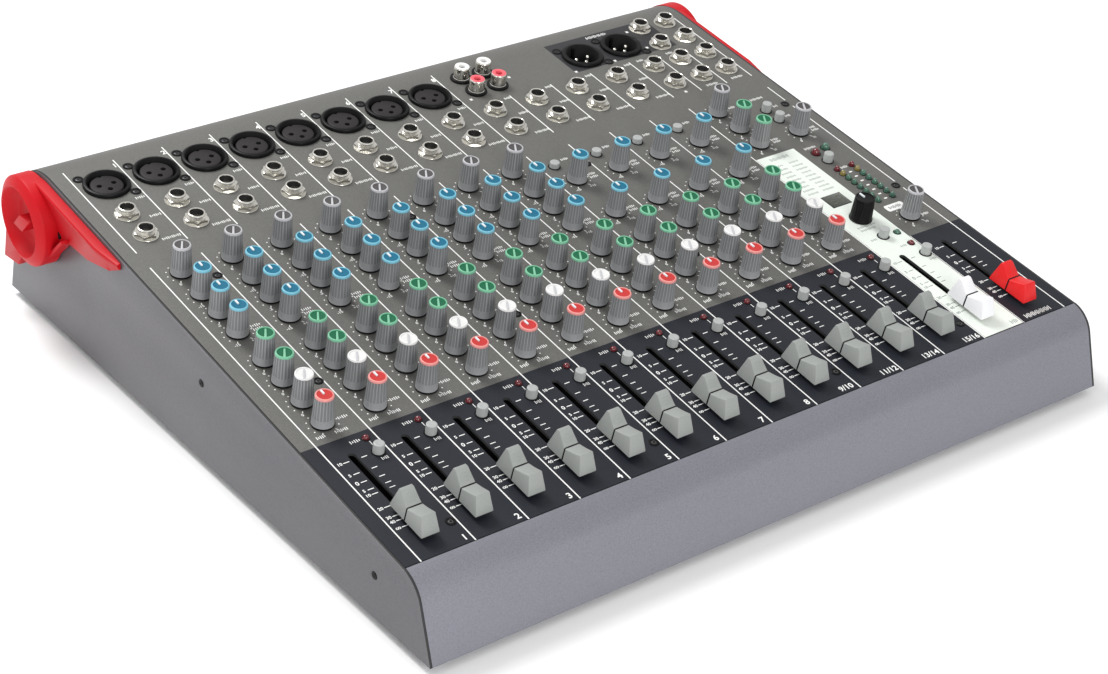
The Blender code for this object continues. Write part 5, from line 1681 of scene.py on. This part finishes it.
def add_component(bm, place, half_across, half_along, level, top, paint=3, bevel=0.2 * MM):
    """A box that stands on a board at a level and reaches up to its top."""
    low = (-half_across, -half_along, level - 0.2 * MM)
    add_block(bm, low, (half_across, half_along, top), place, paint, bevel)


def add_pot(bm, place):
    """A potentiometer: metal can and solder lugs."""
    add_component(bm, place, *mm(4.5, 4.5), BOARD_LEVEL, -9.1 * MM, paint=1, bevel=0.5 * MM)
    for across in (-2.5, 0, 2.5):
        lug = place @ Matrix.Translation(mm(across, -5.2, 0))
        add_component(bm, lug, *mm(0.4, 0.8), BOARD_LEVEL, BOARD_LEVEL + 1.2 * MM, paint=2, bevel=0)


def build_boards():
    start, end = BOARD_EDGE
    knobs = [place for frames in fixed_dials().values() for place in frames]
    knobs += [joint_spot(node) for node in KNOB_NODES]
    spans = {"mono": (start, 7.97), "stereo": (8.03, 11.97), "master": (12.03, end)}
    nodes = {"mono": "mono_control_board", "stereo": "stereo_control_board", "master": "master_board"}
    for name, (left, right) in spans.items():
        bm = bmesh.new()
        add_board_plate(bm, (left, 3.12), (right, 8.45), BOARD_LEVEL)
        for place in knobs:
            if left < place.translation.x / PITCH < right:
                add_pot(bm, place)
        add_board(bm, f"{name}_board_assembly", nodes[name])

    bm = bmesh.new()
    add_board_plate(bm, (start, 0.50), (end, 3.06), BOARD_LEVEL)
    half_track = SLOT_HALF + 3 * MM
    for column in FADER_COLUMNS:
        middle = spot(column, sum(SLOT_ROWS) / 2)
        for side in (-1, 1):
            wall = middle @ Matrix.Translation((side * 3.35 * MM, 0, 0))
            add_component(bm, wall, 1.15 * MM, half_track, BOARD_LEVEL, -2.6 * MM)
        add_component(bm, middle, 2.3 * MM, half_track, BOARD_LEVEL, -11.6 * MM, bevel=0)
    for place in LISTEN_PLACES:
        add_component(bm, spot(*place), *mm(3.2, 3.2), BOARD_LEVEL, -10.6 * MM)
    add_board(bm, "fader_board_assembly", "fader_board")

    bm = bmesh.new()
    add_board_plate(bm, (start, 8.95), (end, 11.60), CONNECTOR_LEVEL)
    for place in JACKS:
        add_component(bm, spot(*place), *mm(6, 6), CONNECTOR_LEVEL, -3 * MM, bevel=0.4 * MM)
    add_board(bm, "connector_board_assembly", "connector_board")


def add_board(bm, name, node):
    mesh = to_mesh(bm, name, ["board", "steel", "copper", "black"])
    add_piece(name, mesh, stands_for=[node])


def build_supply():
    """The switching supply: board, transformer with its winding, heat sinks and a capacitor."""
    low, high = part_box("power_supply")
    place = Matrix.Translation(((low.x + high.x) / 2, (low.y + high.y) / 2, low.z))
    bm = bmesh.new()
    add_block(bm, (-0.050, -0.030, 0), (0.050, 0.030, 0.0016), paint=0, bevel=0.2 * MM)
    add_block(bm, (-0.014, -0.016, 0.0014), (0.018, 0.016, 0.005), paint=3, bevel=0.4 * MM)
    add_block(bm, (-0.014, -0.007, 0.004), (0.018, 0.007, 0.026), paint=1, bevel=0.4 * MM)
    add_block(bm, (-0.008, -0.015, 0.005), (0.012, 0.015, 0.022), paint=2, bevel=1.5 * MM)
    for across in (-0.042, 0.038):
        add_block(bm, (across - 0.002, -0.024, 0.0014), (across + 0.002, 0.024, 0.022), paint=1,
                  bevel=0.3 * MM)
        for fin in range(7):
            along = -0.021 + 0.007 * fin
            add_block(bm, (across - 0.004, along - 0.0006, 0.004), (across + 0.004, along + 0.0006, 0.021),
                      paint=1)
    add_lathe(bm, [(0, 0.0014, 3), (0.0066, 0.0014, 3), (0.007, 0.002, 3), (0.007, 0.023, 3),
                   (0.0064, 0.0238, 1), (0, 0.0235, 1)],
              32, Matrix.Translation((0.027, 0, 0)))
    add_piece("supply_unit", to_mesh(bm, "supply", ["board", "steel", "copper", "black"]), place,
              stands_for=["power_supply"])


# Floor, light and camera


def build_stage():
    bm = bmesh.new()
    add_prism(bm, circle(3.0, 96), -0.02, 0)
    floor_mesh = to_mesh(bm, "floor", [])
    floor = bpy.data.objects.new("floor", floor_mesh)
    bpy.context.scene.collection.objects.link(floor)
    recipe = Recipe("floor_pale")
    slow = recipe.noise(3)
    recipe.link(recipe.ramp(slow, [(0.3, (0.90, 0.90, 0.90)), (0.7, (0.93, 0.93, 0.93))]),
                recipe.shader.inputs["Base Color"])
    recipe.shader.inputs["Roughness"].default_value = 0.6
    floor_mesh.materials.append(recipe.material)


def area_light(name, place, target, size, power, colour=(1, 1, 1)):
    data = bpy.data.lights.new(name, "AREA")
    data.shape = "DISK"
    data.size = size
    data.energy = power
    data.color = colour
    light = bpy.data.objects.new(name, data)
    bpy.context.scene.collection.objects.link(light)
    light.location = place
    light.rotation_euler = (Vector(target) - Vector(place)).to_track_quat("-Z", "Y").to_euler()


def build_light():
    world = bpy.data.worlds.new("studio")
    bpy.context.scene.world = world
    world.use_nodes = True
    background = world.node_tree.nodes["Background"]
    background.inputs["Color"].default_value = (1, 1, 1, 1)
    background.inputs["Strength"].default_value = 0.75
    area_light("key", (-0.3, 0.9, 1.5), (0, 0, 0.05), 0.7, 22)
    area_light("front", (-0.5, -1.8, 0.75), (0, 0, 0.05), 0.8, 15)
    area_light("left", (-1.9, -0.6, 0.6), (0, 0, 0.05), 0.8, 3)
    bpy.context.scene.view_settings.view_transform = "Standard"


def build_camera():
    """A long lens to the left of the front, looking down at the console."""
    place = Vector((-0.62019, -0.81630, 0.59683))
    forward = Vector((0.52783, 0.68629, -0.50041)).normalized()
    right = Vector((0.80233, -0.59619, 0.02865)).normalized()
    up = right.cross(forward)
    data = bpy.data.cameras.new("camera")
    data.lens = 75.91
    data.sensor_width = 36
    data.shift_x, data.shift_y = 0.00176, -0.00216
    data.clip_start, data.clip_end = 0.05, 20
    camera = bpy.data.objects.new("camera", data)
    bpy.context.scene.collection.objects.link(camera)
    camera.matrix_world = Matrix.Translation(place) @ Matrix((right, up, -forward)).transposed().to_4x4()
    bpy.context.scene.camera = camera


build_tray()
build_top_sheet()
build_cheeks()
build_feet()
build_guards()
build_dials()
build_buttons()
build_faders()
build_sockets()
build_lights()
build_meter()
build_display()
build_lines()
build_fader_scales()
build_dial_scales()
build_labels()
build_strip_print()
build_panel_screws()
build_inlet()
build_rocker()
build_boards()
build_supply()
build_stage()
build_light()
build_camera()
